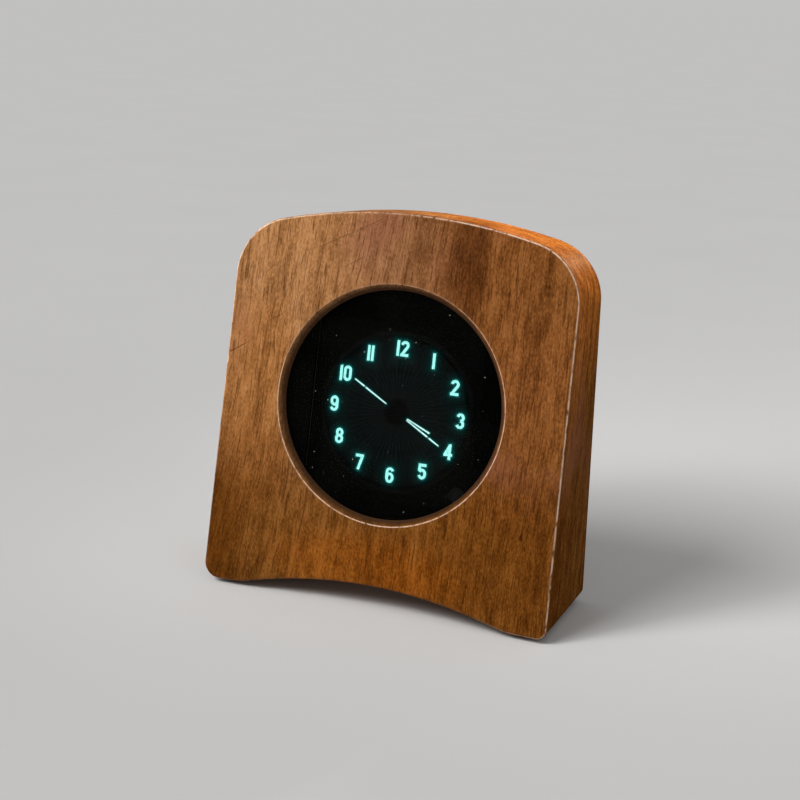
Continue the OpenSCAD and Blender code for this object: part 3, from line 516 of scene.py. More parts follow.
        # Pale edges: partly wear, partly a painted highlight; each ring's amount comes from the case.
        wear = g.attribute("wear")
        rubbed_and_highlit = wear * g.noise(raw, (1.4, 1.4, 3.5), 3.0, 0.65, 5.0).rise(0.3, 0.56)
        colour = g.mix(rubbed_and_highlit * 0.92, colour, self.worn_and_lit)
        rough = 0.5 + (fibre - 0.5) * 0.22 + pores * 0.2 - rubbed_and_highlit * 0.18
        relief = g.bump(fibre * 0.4 - pores, 0.05)
        relief = g.bump(1 - marks, 0.06, relief)
        return g.finish(
            base_color=colour,
            roughness=rough,
            normal=relief,
            coat_weight=0.006,
            coat_roughness=0.42,
            ior_level=0.0,
        )


@dataclass(frozen=True)
class SmokedPane:
    """The polished smoked pane: almost black, a little see-through, with grains of dust."""

    tint: Colour = (0.0016, 0.0018, 0.0014)
    dust: Colour = (0.3, 0.29, 0.27)
    cover: float = 0.3

    def build(self) -> bpy.types.Material:
        """Makes the pane. Dust grains stand near the middle of a few of the pattern's cells."""
        g = Graph("smoked_pane")
        where = g.place()
        cells = g.cells(where, 0.36, feature="F1")
        near = Value(g, cells.outputs["Distance"])
        pick, size, _ = g.parts(cells.outputs["Color"])
        grains = near.rise(0.1, 0.05) * pick.rise(0.86, 0.87) * (size * 1.6 + 0.2).least(1.0)
        haze = g.noise(where, (22, 22, 22), 2.0, 0.5, 4.0)
        ground = g.mix(haze.rise(0.4, 0.7), self.tint, scaled(self.tint, 2.4))
        return g.finish(
            base_color=g.mix(grains, ground, self.dust),
            alpha=grains.most(self.cover),
            roughness=0.06 + grains * 0.5,
            ior_level=0.0,
        )


@dataclass(frozen=True)
class Phosphor:
    """A phosphor anode behind the smoked pane, with an even light but for its fine grain."""

    name: str
    glow: Colour
    strength: float

    def build(self) -> bpy.types.Material:
        """Makes the phosphor, with the fine unevenness of a printed powder layer."""
        g = Graph(self.name)
        grain = g.cloud(0.4)
        return g.finish(
            base_color=(0.012, 0.015, 0.015),
            roughness=0.8,
            ior_level=0.1,
            emission_color=g.mix(grain.rise(0.3, 0.7), scaled(self.glow, 0.9), self.glow),
            emission_strength=self.strength,
        )


@dataclass(frozen=True)
class DialGround:
    """The dark base glass with the light that the lit phosphor throws on it."""

    glow: Colour
    strength: float

    def build(self) -> bpy.types.Material:
        """Makes the ground: its light comes from the `halo` number on the mesh."""
        g = Graph("dial_ground")
        halo = g.attribute("halo")
        return g.finish(
            base_color=g.mix(g.cloud(1.6), (0.002,) * 3, (0.003,) * 3),
            roughness=0.4,
            ior_level=0.1,
            emission_color=g.mix(halo, (0.0, 0.0, 0.0), self.glow),
            emission_strength=self.strength,
        )


@dataclass(frozen=True)
class Plastic:
    """A moulded plastic with a fine spark-eroded texture."""

    name: str
    colour: Colour
    roughness: float = 0.5
    grain: float = 0.35
    relief: float = 0.02
    gloss: float = 0.5

    def build(self) -> bpy.types.Material:
        """Makes the plastic: two sizes of noise give the texture and its uneven sheen."""
        g = Graph(self.name)
        where = g.place()
        fine = g.noise(where, (self.grain,) * 3, 3.0, 0.6)
        cloud = g.noise(where, (14, 14, 14), 2.0, 0.5, 9.0)
        lift = tuple(min(1.0, c * 1.25 + 0.002) for c in self.colour)
        return g.finish(
            base_color=g.mix(cloud * 0.5 + fine * 0.3, self.colour, lift),
            roughness=self.roughness + (cloud - 0.5) * 0.12 + (fine - 0.5) * 0.1,
            normal=g.bump(fine, self.relief),
            ior_level=self.gloss,
        )


@dataclass(frozen=True)
class Metal:
    """A plated or turned metal with fine marks from the tool."""

    name: str
    colour: Colour
    roughness: float = 0.28
    marks: Colour = (0.15, 3.0, 0.15)

    def build(self) -> bpy.types.Material:
        """Makes the metal: long noise along one axis gives the tool marks."""
        g = Graph(self.name)
        where = g.place()
        lines = g.noise(where, self.marks, 2.0)
        stain = g.noise(where, (3, 3, 3), 2.0, 0.6, 5.0)
        return g.finish(
            base_color=g.mix(stain.rise(0.35, 0.75) * 0.6, self.colour, scaled(self.colour, 0.72)),
            metallic=1.0,
            roughness=self.roughness + (lines - 0.5) * 0.16 + (stain - 0.5) * 0.12,
            normal=g.bump(lines, 0.004),
        )


@dataclass(frozen=True)
class SolderMask:
    """A green circuit board: glossy mask over faint copper tracks."""

    mask: Colour = (0.006, 0.06, 0.028)
    track: Colour = (0.014, 0.11, 0.05)

    def build(self) -> bpy.types.Material:
        """Makes the board. Its tracks are the edges between uneven cells."""
        g = Graph("solder_mask")
        cells = g.cells(g.place(), 0.22, feature="DISTANCE_TO_EDGE", distance="EUCLIDEAN")
        cells.inputs["Randomness"].default_value = 0.55
        tracks = Value(g, cells.outputs["Distance"]).rise(0.07, 0.05)
        return g.finish(
            base_color=g.mix(tracks, self.mask, self.track),
            roughness=0.32 - tracks * 0.08,
            normal=g.bump(tracks, 0.03),
        )


@dataclass(frozen=True)
class ClearGlass:
    """Thin clear or frosted glass inside the tube, seen only faintly behind the pane."""

    name: str
    colour: Colour
    cover: float

    def build(self) -> bpy.types.Material:
        """Makes the glass as a thin, even veil without a gloss."""
        g = Graph(self.name)
        cloud = g.cloud(9)
        return g.finish(
            base_color=g.mix(cloud, self.colour, scaled(self.colour, 0.8)),
            alpha=self.cover,
            roughness=0.3 + cloud * 0.1,
            ior_level=0.0,
        )


# Meshes


def grid_faces(rows: int, columns: int, round_rows: bool, round_columns: bool) -> Array:
    """The four-sided faces between the neighbouring points of a grid.

    Args:
        rows: Number of rows of points.
        columns: Number of points in a row.
        round_rows: Joins the last row to the first.
        round_columns: Joins the last column to the first.

    Returns:
        Point numbers, four to a face.
    """
    i = np.arange(rows if round_rows else rows - 1)[:, None]
    j = np.arange(columns if round_columns else columns - 1)[None, :]
    here, below = i * columns, (i + 1) % rows * columns
    after = (j + 1) % columns
    faces = np.stack([here + j, here + after, below + after, below + j], axis=-1)
    return faces.reshape(-1, 4)


def signed_volume(points: Array, faces: Array) -> float:
    """Volume inside a closed mesh, below zero if it is inside out: the sum of its cones."""
    a, b, c, d = (points[faces[:, k]] for k in range(4))
    first = np.einsum("ij,ij->i", a, np.cross(b, c))
    second = np.einsum("ij,ij->i", a, np.cross(c, d))
    return float((first + second).sum() / 6)


@dataclass
class Piece:
    """A new surface in millimetres, gathered from grids, that becomes one Blender object."""

    name: str
    points: list[Array] = field(default_factory=list)
    faces: list[Array] = field(default_factory=list)
    numbers: dict[str, list[Array]] = field(default_factory=dict)
    count: int = 0

    def add(
        self,
        grid: Array,
        round_rows: bool = False,
        round_columns: bool = False,
        outward: bool = True,
        **numbers: Array,
    ) -> None:
        """Adds a grid of points.

        Args:
            grid: Points, rows by columns by three.
            round_rows: Joins the last row to the first.
            round_columns: Joins the last column to the first.
            outward: Turns a closed grid so that its faces look outward.
            **numbers: Numbers kept at each point, rows by columns.
        """
        rows, columns = grid.shape[:2]
        flat = grid.reshape(-1, 3)
        faces = grid_faces(rows, columns, round_rows, round_columns)
        if outward and signed_volume(flat, faces) < 0:
            faces = faces[:, ::-1]
        self.points.append(flat)
        self.faces.append(faces + self.count)
        for key, value in numbers.items():
            self.numbers.setdefault(key, []).append(np.broadcast_to(value, (rows, columns)).ravel())
        self.count += len(flat)

    def build(
        self,
        material: bpy.types.Material,
        body: str,
        slot: str,
        replaces: Sequence[str] = (),
        weld: bool = True,
    ) -> None:
        """Makes the object, dresses it and lets it ride on its body.

        Args:
            material: The finish.
            body: The body that carries the piece.
            slot: Not used.
            replaces: Nodes that the piece stands for.
            weld: Merges doubled points, which closes poles.
        """
        points = np.concatenate(self.points) * MM
        mesh = bpy.data.meshes.new(self.name)
        mesh.from_pydata(points.tolist(), [], np.concatenate(self.faces).tolist())
        for key, values in self.numbers.items():
            store = mesh.attributes.new(key, "FLOAT", "POINT")
            store.data.foreach_set("value", np.concatenate(values).astype(np.float32))
        if weld:
            work = bmesh.new()
            work.from_mesh(mesh)
            bmesh.ops.remove_doubles(work, verts=work.verts, dist=1e-7)
            work.to_mesh(mesh)
            work.free()
        mesh.polygons.foreach_set("use_smooth", [True] * len(mesh.polygons))
        mesh.update()
        mesh.materials.append(material)
        piece = linked(self.name, mesh)
        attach(piece, body)
        if replaces:
            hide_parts(*replaces)
        LOG.info("%s: %d faces, replaces %s", self.name, len(mesh.polygons), list(replaces) or "-")


def arc(first: float, last: float, count: int) -> Array:
    """Points of the circle of radius 1 about the origin, from one angle to another."""
    angle = np.linspace(first, last, count)
    return np.stack([np.cos(angle), np.sin(angle)], axis=1)


def turned(profile: Array, centre: Sequence[float], steps: int = 64) -> Array:
    """Turns a profile about an axis along Y: each point's radius sweeps a full circle.

    Args:
        profile: Pairs of a radius and a distance along Y, as a closed or open line.
        centre: The axis's place, X and Z.
        steps: Number of steps round the axis.

    Returns:
        A grid of points, one row for each point of the profile.
    """
    angle = np.linspace(0, 2 * np.pi, steps, endpoint=False)
    radius, along = profile[:, :1], profile[:, 1:]
    x = centre[0] + radius * np.cos(angle)
    z = centre[1] + radius * np.sin(angle)
    return np.stack([x, np.broadcast_to(along, x.shape), z], axis=-1)


def rounded(corners: Sequence[tuple[float, float, float]], steps: int = 6) -> Array:
    """A line through corners, each rounded by its own radius with an arc that meets both sides.

    Args:
        corners: Triples of two coordinates and a radius. The first and last stay sharp.
        steps: Number of steps in an arc.

    Returns:
        The points.
    """
    out = [np.array([corners[0][:2]], float)]
    for before, corner, after in zip(corners, corners[1:], corners[2:]):
        p = np.array(corner[:2], float)
        a = np.array(before[:2], float) - p
        b = np.array(after[:2], float) - p
        a, b = a / np.hypot(*a), b / np.hypot(*b)
        half = np.arccos(np.clip(a @ b, -1, 1)) / 2
        if corner[2] <= 0:
            out.append(p[None])
            continue
        reach = corner[2] / np.tan(half)
        centre = p + (a + b) / np.hypot(*(a + b)) * corner[2] / np.sin(half)
        first, last = p + a * reach - centre, p + b * reach - centre
        sweep = np.pi - 2 * half
        t = np.linspace(0, 1, steps + 1)[:, None]
        out.append(
            centre + (np.sin((1 - t) * sweep) * first + np.sin(t * sweep) * last) / np.sin(sweep)
        )
    out.append(np.array([corners[-1][:2]], float))
    return np.concatenate(out)


# The clock's parts


@dataclass(frozen=True)
class FacePlane:
    """The leaning plane of the face: how far across, behind and up it a point lies."""

    lean: float = 9.5
    half_depth: float = 22.5
    lift: float = 1.5

    @property
    def slope(self) -> tuple[float, float]:
        """The sine and the cosine of the lean."""
        return math.sin(math.radians(self.lean)), math.cos(math.radians(self.lean))

    def place(self, across: Array, behind: Array | float, up: Array) -> Array:
        """Points in the model's frame: the face's foot, plus `up` along its slope, plus
        `behind` square to it.

        Args:
            across: Distance to the right of the middle.
            behind: Depth behind the face.
            up: Distance up the slope.

        Returns:
            The points, in millimetres.
        """
        s, c = self.slope
        across, behind, up = np.broadcast_arrays(across, behind, up)
        y, z = -self.half_depth + up * s + behind * c, self.lift + up * c - behind * s
        return np.stack([across, y, z], axis=-1)

    def read(self, points: Array) -> tuple[Array, Array, Array]:
        """The distances across, behind and up the face of points in the model's frame.

        Args:
            points: The points, in millimetres.

        Returns:
            The three distances.
        """
        s, c = self.slope
        y, z = points[..., 1] + self.half_depth, points[..., 2] - self.lift
        return points[..., 0], y * c - z * s, y * s + z * c


def rectangle_reach(
    angle: Array, half_width: float, half_height: float, corner: float, rise: float = 0.0
) -> Array:
    """How far a ray at each angle runs to a rounded rectangle: to its sides, or to the circle
    of a corner where it meets that.

    Args:
        angle: Angle of each ray from the right, counter-clockwise.
        half_width: Half the width.
        half_height: Half the height.
        corner: The corners' radius.
        rise: Height of the rectangle's centre above the rays' origin.

    Returns:
        The lengths.
    """
    c, s = np.cos(angle), np.sin(angle)
    side = half_width / np.maximum(np.abs(c), 1e-9)
    end = np.where(s > 0, half_height + rise, half_height - rise) / np.maximum(np.abs(s), 1e-9)
    reach = np.minimum(side, end)
    x, y = reach * c, reach * s - rise
    cx = np.sign(c) * (half_width - corner)
    cy = np.sign(y) * (half_height - corner)
    in_corner = (np.abs(x) > half_width - corner) & (np.abs(y) > half_height - corner)
    along = c * cx + s * (cy + rise)
    inside = np.maximum(along**2 - (cx**2 + (cy + rise) ** 2) + corner**2, 0)
    return np.where(in_corner, along + np.sqrt(inside), reach)


@dataclass
class WoodenCase:
    """The solid case: its outline, softened edges, window, seats and pocket."""

    plane: FacePlane
    half_base: float = 60.0
    half_top: float = 59.0
    height: float = 128.2
    back_scale: float = 124.6 / 128.2
    foot_corners: tuple[float, float] = (5.4, 3.4)
    arch_rise: float = 6.9
    arch_span: float = 92.6
    top_corner: float = 20.0
    crown_radius: float = 183.0
    edge: float = 0.9
    window: float = 37.3
    window_up: float = 66.2
    rim_depth: float = 2.5
    rim_angle: float = 52.0
    rim_edge: float = 0.4
    nick_up: float = 74.4
    pane_depth: float = 2.8
    pane_back: float = 4.8
    pane_seat: float = 39.65
    dial_up: float = 63.7
    well: tuple[float, float, float] = (36.98, 33.99, 6.0)
    pocket_depth: float = 12.0
    pocket: tuple[float, float, float] = (45.98, 42.99, 14.0)
    pocket_up: float = 67.0
    seat: tuple[float, float, float] = (52.23, 49.24, 10.0)
    seat_up: float = 61.0
    seat_at: float = 18.5
    face_steps: tuple[float, ...] = (0.004, 0.02, 0.08, 0.2, 0.4, 0.6, 0.8, 0.92, 0.98, 0.996)
    side_steps: tuple[float, ...] = (0.01, 0.04, 0.12, 0.25, 0.4, 0.55, 0.7, 0.85, 0.95, 0.99)
    back_steps: tuple[float, ...] = (0.01, 0.1, 0.5, 0.9, 0.97)
    edge_steps: int = 10
    crest_depth: float = 0.1
    crest_width: float = 0.09
    # Paleness of the outer edges by direction: partly wear, partly a painted highlight. It is strong
    # along the sides and at the upper corners, and faint along the bottom and the middle of the crown.
    edge_wear_and_light: dict[int, float] = field(
        default_factory=lambda: {
            -90: 0.05, -62: 0.08, -52: 0.45, -44: 0.8, 0: 0.85, 45: 1.0, 70: 0.75, 90: 0.3,
            110: 0.3, 125: 0.6, 140: 0.95, 180: 0.8, 195: 0.45, 220: 0.3, 235: 0.1,
        }
    )
    # Paleness of the window's rim by direction: partly wear, partly a painted highlight. It is strong
    # at the bottom and the sides, and faint at the upper left.
    rim_wear_and_light: dict[int, float] = field(
        default_factory=lambda: {
            -90: 1.0, 0: 0.9, 45: 0.5, 70: 0.35, 100: 0.25, 135: 0.15, 155: 0.4, 180: 0.9, 225: 0.9,
        }
    )

    @staticmethod
    def wear_and_light_by_direction(ray: Array, turns: dict[int, float]) -> Array:
        """How pale the wood is in each direction from the window's middle: partly wear, partly a
        painted highlight.

        Args:
            ray: Directions, in radians.
            turns: Paleness at a few directions, in degrees. Between them it runs straight.

        Returns:
            The paleness, from 0 to 1.
        """
        return np.interp(np.degrees(ray), list(turns), list(turns.values()), period=360)

    def half_outline(self, foot_corner: float) -> Array:
        """The outline's right half, from the middle of the arch to the middle of the crown.

        Args:
            foot_corner: Radius of the foot's lower corner.

        Returns:
            Pairs of a distance across and a distance up.
        """
        half = self.arch_span / 2
        radius = (half**2 + self.arch_rise**2) / (2 * self.arch_rise)
        u = np.linspace(0, self.half_base - foot_corner, 121)[:-1]
        sink = self.arch_rise - radius + np.sqrt(radius**2 - u**2)
        bottom = np.stack([u, (sink + np.sqrt(sink**2 + 0.8**2)) / 2], axis=1)
        foot = (arc(-np.pi / 2, 0, 21) + [0, 1]) * foot_corner
        foot[:, 0] += self.half_base - foot_corner
        x = self.half_top - self.top_corner
        rise = math.sqrt((self.crown_radius - self.top_corner) ** 2 - x**2)
        middle = self.height - self.crown_radius
        turn = math.atan2(rise, x)
        corner = arc(0, turn, 56) * self.top_corner + [x, middle + rise]
        t = np.linspace(0, 1, 52)[1:-1, None]
        side = foot[-1] * (1 - t) + corner[0] * t
        crown = arc(turn, np.pi / 2, 81)[1:] * self.crown_radius + [0, middle]
        return np.concatenate([bottom, foot, side, corner, crown])

    def outline(self) -> Array:
        """The case's outline in the plane of the face: the arch eased into the feet, the
        corners and the bowed crown. The feet's corners are rubbed unequally round.

        Returns:
            Pairs of a distance across and a distance up, counter-clockwise.
        """
        left, right = (self.half_outline(corner) for corner in self.foot_corners)
        return np.concatenate([right, left[-2:0:-1] * [-1, 1]])

    def softened(self, line: Array) -> tuple[Array, Array]:
        """The outline's outward direction at each point, and the radius of the sanded edge
        there, which drifts a little as a hand-rubbed edge does.

        Args:
            line: The outline.

        Returns:
            Directions and radii.
        """
        step = np.roll(line, -1, axis=0) - np.roll(line, 1, axis=0)
        step /= np.hypot(step[:, 0], step[:, 1])[:, None]
        run = np.cumsum(np.hypot(*(np.roll(line, -1, axis=0) - line).T))
        drift = np.sin(run / 41) + 0.6 * np.sin(run / 17 + 1) + 0.4 * np.sin(run / 7.3 + 2)
        nick = np.exp(-(((line[:, 1] - self.nick_up) / 0.8) ** 2)) * (line[:, 0] < -self.half_top / 2)
        edge = self.edge * (1 + 0.06 * drift) + 0.5 * nick
        return np.stack([step[:, 1], -step[:, 0]], axis=1), edge

    def front(self, line: Array, behind: Array | float) -> Array:
        """Points of the outline at the face, moved back along Y."""
        points = self.plane.place(line[:, 0], 0.0, line[:, 1])
        points[:, 1] += behind
        return points

    def back(self, line: Array, before: Array | float) -> Array:
        """Points of the outline at the upright back, moved forward along Y."""
        y = np.broadcast_to(self.plane.half_depth - before, line[:, 0].shape)
        return np.stack([line[:, 0], y, self.plane.lift + line[:, 1] * self.back_scale], axis=1)

    def lip(self) -> Array:
        """The window's rim as pairs of a radius and a depth: a small round edge, then a flank
        that narrows to the pane."""
        slope = math.tan(math.radians(self.rim_angle))
        top = self.window + self.rim_depth / slope
        flank = [(top - depth / slope, depth, 0.0) for depth in (1.8, 1.2, 0.8, 0.5, 0.32, 0.2)]
        bore = [(self.window, self.pane_depth, 0.0), (self.window, self.rim_depth, 0.15)]
        return rounded([*bore, *flank, (top, 0.0, self.rim_edge), (top + 2.0, 0.0, 0.0)], 7)

    def rings(self) -> tuple[Array, Array, Array]:
        """All rings of the case in order, from the pane's ledge over the face, the sides, the
        back and the pocket to the ledge again. Each has a point for every point of the
        outline, on the same ray from the window's middle where it isn't on the outline.

        Returns:
            The rings' points, how pale the wood is there from wear and painted highlight, and how much
            painted shade darkens it.
        """
        line = self.outline()
        out, edge = self.softened(line)
        away = line - [0.0, self.window_up]
        ray = np.arctan2(away[:, 1], away[:, 0])
        c, s = np.cos(ray), np.sin(ray)
        rings: list[Array] = []
        worn_and_lit: list[Array] = []
        bore_shade: list[Array] = []

        def keep(ring: Array, wear: Array | float = 0.0, bore: Array | float = 0.0) -> None:
            """Adds a ring, its paleness from wear and painted highlight, and its painted shade."""
            rings.append(ring)
            worn_and_lit.append(np.broadcast_to(wear, (len(line),)))
            bore_shade.append(np.broadcast_to(bore, (len(line),)))

        def between(first: Array, last: Array, steps: Sequence[float]) -> None:
            """Adds rings between two others, at shares of the way."""
            for t in steps:
                keep(first * (1 - t) + last * t)

        def on_rays(reach: Array | float, depth: float) -> Array:
            """A ring square behind the face, at a distance along each ray."""
            return self.plane.place(reach * c, depth, self.window_up + reach * s)

        # Edge paleness by direction: partly wear, partly a painted highlight.
        edge_wear_and_light, rim_wear_and_light = (self.wear_and_light_by_direction(ray, turns) for turns in (self.edge_wear_and_light, self.rim_wear_and_light))
        # The rim's crest gets the pale colour of wear and a painted highlight; the bore gets painted
        # shade that deepens towards the pane.
        for radius, depth in self.lip()[:-1]:
            crest = np.exp(-(((depth - self.crest_depth) / self.crest_width) ** 2))
            keep(on_rays(radius, depth), crest * rim_wear_and_light, np.clip(depth / 1.4 - 0.15, 0, 1))
        between(rings[-1], self.front(line - out * edge[:, None], 0.0), self.face_steps)
        sine, cosine = self.plane.slope
        turn = np.radians(np.linspace(0, 90, self.edge_steps))
        # The rounded edges' crests get the pale colour: partly wear, partly a painted highlight.
        for a in turn:
            inset = line - out * (edge * (1 - np.sin(a)))[:, None]
            keep(self.front(inset, edge * (1 - np.cos(a)) / cosine), np.sin(2 * a) ** 5 * edge_wear_and_light)
        between(rings[-1], self.back(line, edge), self.side_steps)
        for a in turn[::-1]:
            inset = line - out * (edge * (1 - np.sin(a)))[:, None]
            keep(self.back(inset, edge * (1 - np.cos(a))), np.sin(2 * a) ** 5 * edge_wear_and_light * 0.5)
        seat = rectangle_reach(ray, *self.seat)
        half = self.plane.half_depth
        mouth = np.stack([seat * c, 0 * c + half, self.plane.lift + self.seat_up + seat * s], 1)
        rim = rings[-1]
        between(rim, mouth, self.back_steps)
        keep(mouth - [0, 0.2, 0] + (mouth - rim) * 0.004, 0.3)
        keep(mouth * [1, 0, 1] + [0, self.seat_at, 0])
        hole = rectangle_reach(ray, *self.pocket)
        across, up = hole * c, self.pocket_up + hole * s
        deep = (self.seat_at + half - up * sine) / cosine
        keep(self.plane.place(across, deep - 0.1, up))
        keep(self.plane.place(across, self.pocket_depth + 0.1, up))
        keep(self.plane.place(across, self.pocket_depth, up))
        drop = self.dial_up - self.window_up
        well = np.maximum(rectangle_reach(ray, *self.well, drop), self.pane_seat)
        keep(on_rays(well, self.pocket_depth))
        keep(on_rays(well, self.pane_back))
        keep(on_rays(self.pane_seat, self.pane_back))
        keep(on_rays(self.pane_seat, self.pane_depth))
        return np.stack(rings), np.stack(worn_and_lit), np.stack(bore_shade)

    def build(self) -> None:
        """Makes the case and dresses it in oiled wood."""
        rings, worn_and_lit, bore_shade = self.rings()
        piece = Piece("worked_wooden_case")
        piece.add(rings, True, True, wear=worn_and_lit, bore=bore_shade)
        wood = OiledWood(self.plane).build()
        piece.build(wood, CLOCK, "wood_case", ["wood_case"], weld=False)


@dataclass
class LitDial:
    """What glows in the tube: numerals, hands and the light round them."""

    plane: FacePlane
    up: float = 63.7
    depth: float = 8.28
    reach: float = 26.75
    step: float = 0.25
    numeral: Colour = (0.38, 1.0, 0.92)
    hand: Colour = (0.62, 1.0, 0.97)
    halo: Colour = (0.01, 0.5, 0.45)
    through: float = 0.49
    turns: int = 720
    numeral_light: tuple[float, float, float, float] = (0.26, 0.36, 0.05, 1.3)
    hand_light: tuple[float, float, float, float] = (0.2, 0.3, 0.02, 1.0)
    # A faint painted glow on the ground over the ring of the idle segments.
    veil: float = 0.005
    veil_start: tuple[float, float] = (6.0, -1.5)
    veil_end: tuple[float, float] = (22.5, 0.9)
    rim: tuple[float, float] = (25.4, 4.0)
    cut: float = 0.002
    ground_strength: float = 0.9
    lit_strength: float = 1.15
    # Strength of a faint painted glow on the idle segments, which are not lit.
    idle_strength: float = 0.005

    def lines(self, node: str) -> Array:
        """The edges of a node's front faces, as pairs of points across and up the face.

        Args:
            node: The node's name.

        Returns:
            An array of edges by two ends by two numbers.
        """
        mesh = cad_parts[node].data
        flat = np.zeros(len(mesh.vertices) * 3)
        mesh.vertices.foreach_get("co", flat)
        across, behind, up = self.plane.read(flat.reshape(-1, 3) / MM)
        ends = np.zeros(len(mesh.edges) * 2, int)
        mesh.edges.foreach_get("vertices", ends)
        ends = ends.reshape(-1, 2)
        front = (behind < self.depth - 0.04)[ends].all(axis=1)
        return np.stack([across, up], axis=1)[ends[front]]

    @staticmethod
    def distance(points: Array, edges: Array) -> Array:
        """The distance from each point to the nearest edge: to the point of each edge that the
        point projects on, or to its end.

        Args:
            points: Points, by two numbers.
            edges: Edges, by two ends, by two numbers.

        Returns:
            The distances.
        """
        start, run = edges[:, 0], edges[:, 1] - edges[:, 0]
        length = np.maximum((run**2).sum(1), 1e-9)
        best = np.full(len(points), 1e9)
        for part in np.array_split(np.arange(len(points)), max(1, len(points) // 1500)):
            gap = points[part, None] - start
            t = np.clip((gap * run).sum(-1) / length, 0, 1)
            best[part] = np.hypot(*np.moveaxis(gap - t[..., None] * run, -1, 0)).min(1)
        return best

    @staticmethod
    def fall(gap: Array, near: float, width: float, wide: float, reach: float) -> Array:
        """The light at a distance from a lit line: a bright narrow part and a faint wide one.

        Args:
            gap: The distances, in millimetres.
            near: Strength of the narrow part.
            width: How far the narrow part reaches.
            wide: Strength of the wide part.
            reach: How far the wide part reaches.

        Returns:
            The light.
        """
        return near * np.exp(-((gap / width) ** 1.5)) + wide * np.exp(-gap / reach)

    @staticmethod
    def within(far: Array, middle: float, steep: float) -> Array:
        """1 well inside a radius and 0 well outside it, or the other way round if steep < 0."""
        return 1 / (1 + np.exp((far - middle) * steep))

    def ground(self) -> None:
        """The base glass's face, a round sheet of rings, with the halo at each point: it falls with the
        distance to the nearest lit line, over a faint painted glow across the idle segments."""
        angle = np.linspace(0, 2 * np.pi, self.turns, endpoint=False)
        radius = np.arange(0.0, self.reach + self.step / 2, self.step)[:, None]
        across, up = radius * np.cos(angle), self.up + radius * np.sin(angle)
        flat = np.stack([across.ravel(), up.ravel()], axis=1)
        near = self.distance(flat, self.lines("numeral_anodes"))
        slim = self.distance(flat, self.lines("lit_hand_anodes"))
        light = np.maximum(self.fall(near, *self.numeral_light), self.fall(slim, *self.hand_light))
        far = np.broadcast_to(radius, across.shape).ravel()
        # Adds the faint painted glow over the idle segments' ring.
        light += self.veil * self.within(far, *self.veil_start) * self.within(far, *self.veil_end)
        halo = np.maximum(light - self.cut, 0.0) * self.within(far, *self.rim)
        piece = Piece("dial_ground")
        grid = self.plane.place(across, self.depth, up)
        piece.add(grid, False, True, outward=False, halo=halo.reshape(across.shape))
        glow = DialGround(self.halo, self.ground_strength / self.through)
        piece.build(glow.build(), CLOCK, "tube_base_glass")

    def build(self) -> None:
        """Lights the numerals and hands and lays the glowing ground behind them."""
        self.ground()
        lit, idle = self.lit_strength / self.through, self.idle_strength
        dress("numeral_anodes", Phosphor("lit_numerals", self.numeral, lit).build())
        dress("lit_hand_anodes", Phosphor("lit_hands", self.hand, lit).build())
        # The idle segments get a faint painted glow, though they are not lit.
        dress("idle_hand_anodes", Phosphor("idle_segments", self.hand, idle).build())


def dress(node: str, material: bpy.types.Material) -> None:
    """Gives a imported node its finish."""
    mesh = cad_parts[node].data
    mesh.materials.clear()
    mesh.materials.append(material)
    LOG.info("%s: dressed in %s", node, material.name)


class Finish(Enum):
    """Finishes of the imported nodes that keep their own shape."""

    BLACK_FRAME = Plastic("black_frame", (0.001,) * 3, 0.9, gloss=0.0)
    COVER = Plastic("cover_plastic", (0.011, 0.011, 0.012), 0.55, 0.7, 0.09)
    HOUSING = Plastic("black_housing", (0.014, 0.014, 0.015), 0.45)
    CHIP = Plastic("chip_resin", (0.012, 0.012, 0.013), 0.6, 0.2, 0.01)
    IVORY = Plastic("ivory_socket", (0.62, 0.58, 0.46), 0.5)
    KEY = Plastic("key_plastic", (0.42, 0.41, 0.38), 0.45, 0.3, 0.012)
    FERRITE = Plastic("ferrite", (0.03, 0.03, 0.032), 0.7)
    RUBBER = Plastic("rubber", (0.012,) * 3, 0.85, 0.5, 0.03)
    FOAM = Plastic("foam", (0.02,) * 3, 0.95, 0.6, 0.08)
    FLAT_CABLE = Plastic("flat_cable", (0.65, 0.65, 0.67), 0.35)
    LEAD = Plastic("lead_sheath", (0.36, 0.02, 0.015), 0.4)
    SEAL = Plastic("sealing_glass", (0.0015,) * 3, 0.6, gloss=0.0)
    GETTER = Metal("getter_flash", (0.03, 0.03, 0.032), 0.6)
    BLACK_STEEL = Metal("blackened_steel", (0.0015,) * 3, 0.6)
    STEEL = Metal("zinc_steel", (0.62, 0.62, 0.63), 0.3)
    NICKEL = Metal("nickel", (0.6, 0.58, 0.54), 0.22)
    BRASS = Metal("brass", (0.72, 0.52, 0.2), 0.3)
    BRONZE = Metal("spring_bronze", (0.62, 0.47, 0.25), 0.32)
    CAN = Metal("aluminium_can", (0.7, 0.7, 0.72), 0.35)
    BOARD = SolderMask()
    MESH = ClearGlass("fine_mesh", (0.02,) * 3, 0.08)
    CLEAR = ClearGlass("clear_glass", (0.008, 0.0095, 0.0095), 0.03)
    BASE = Plastic("base_glass", (0.0025,) * 3, 0.9, relief=0.0, gloss=0.0)


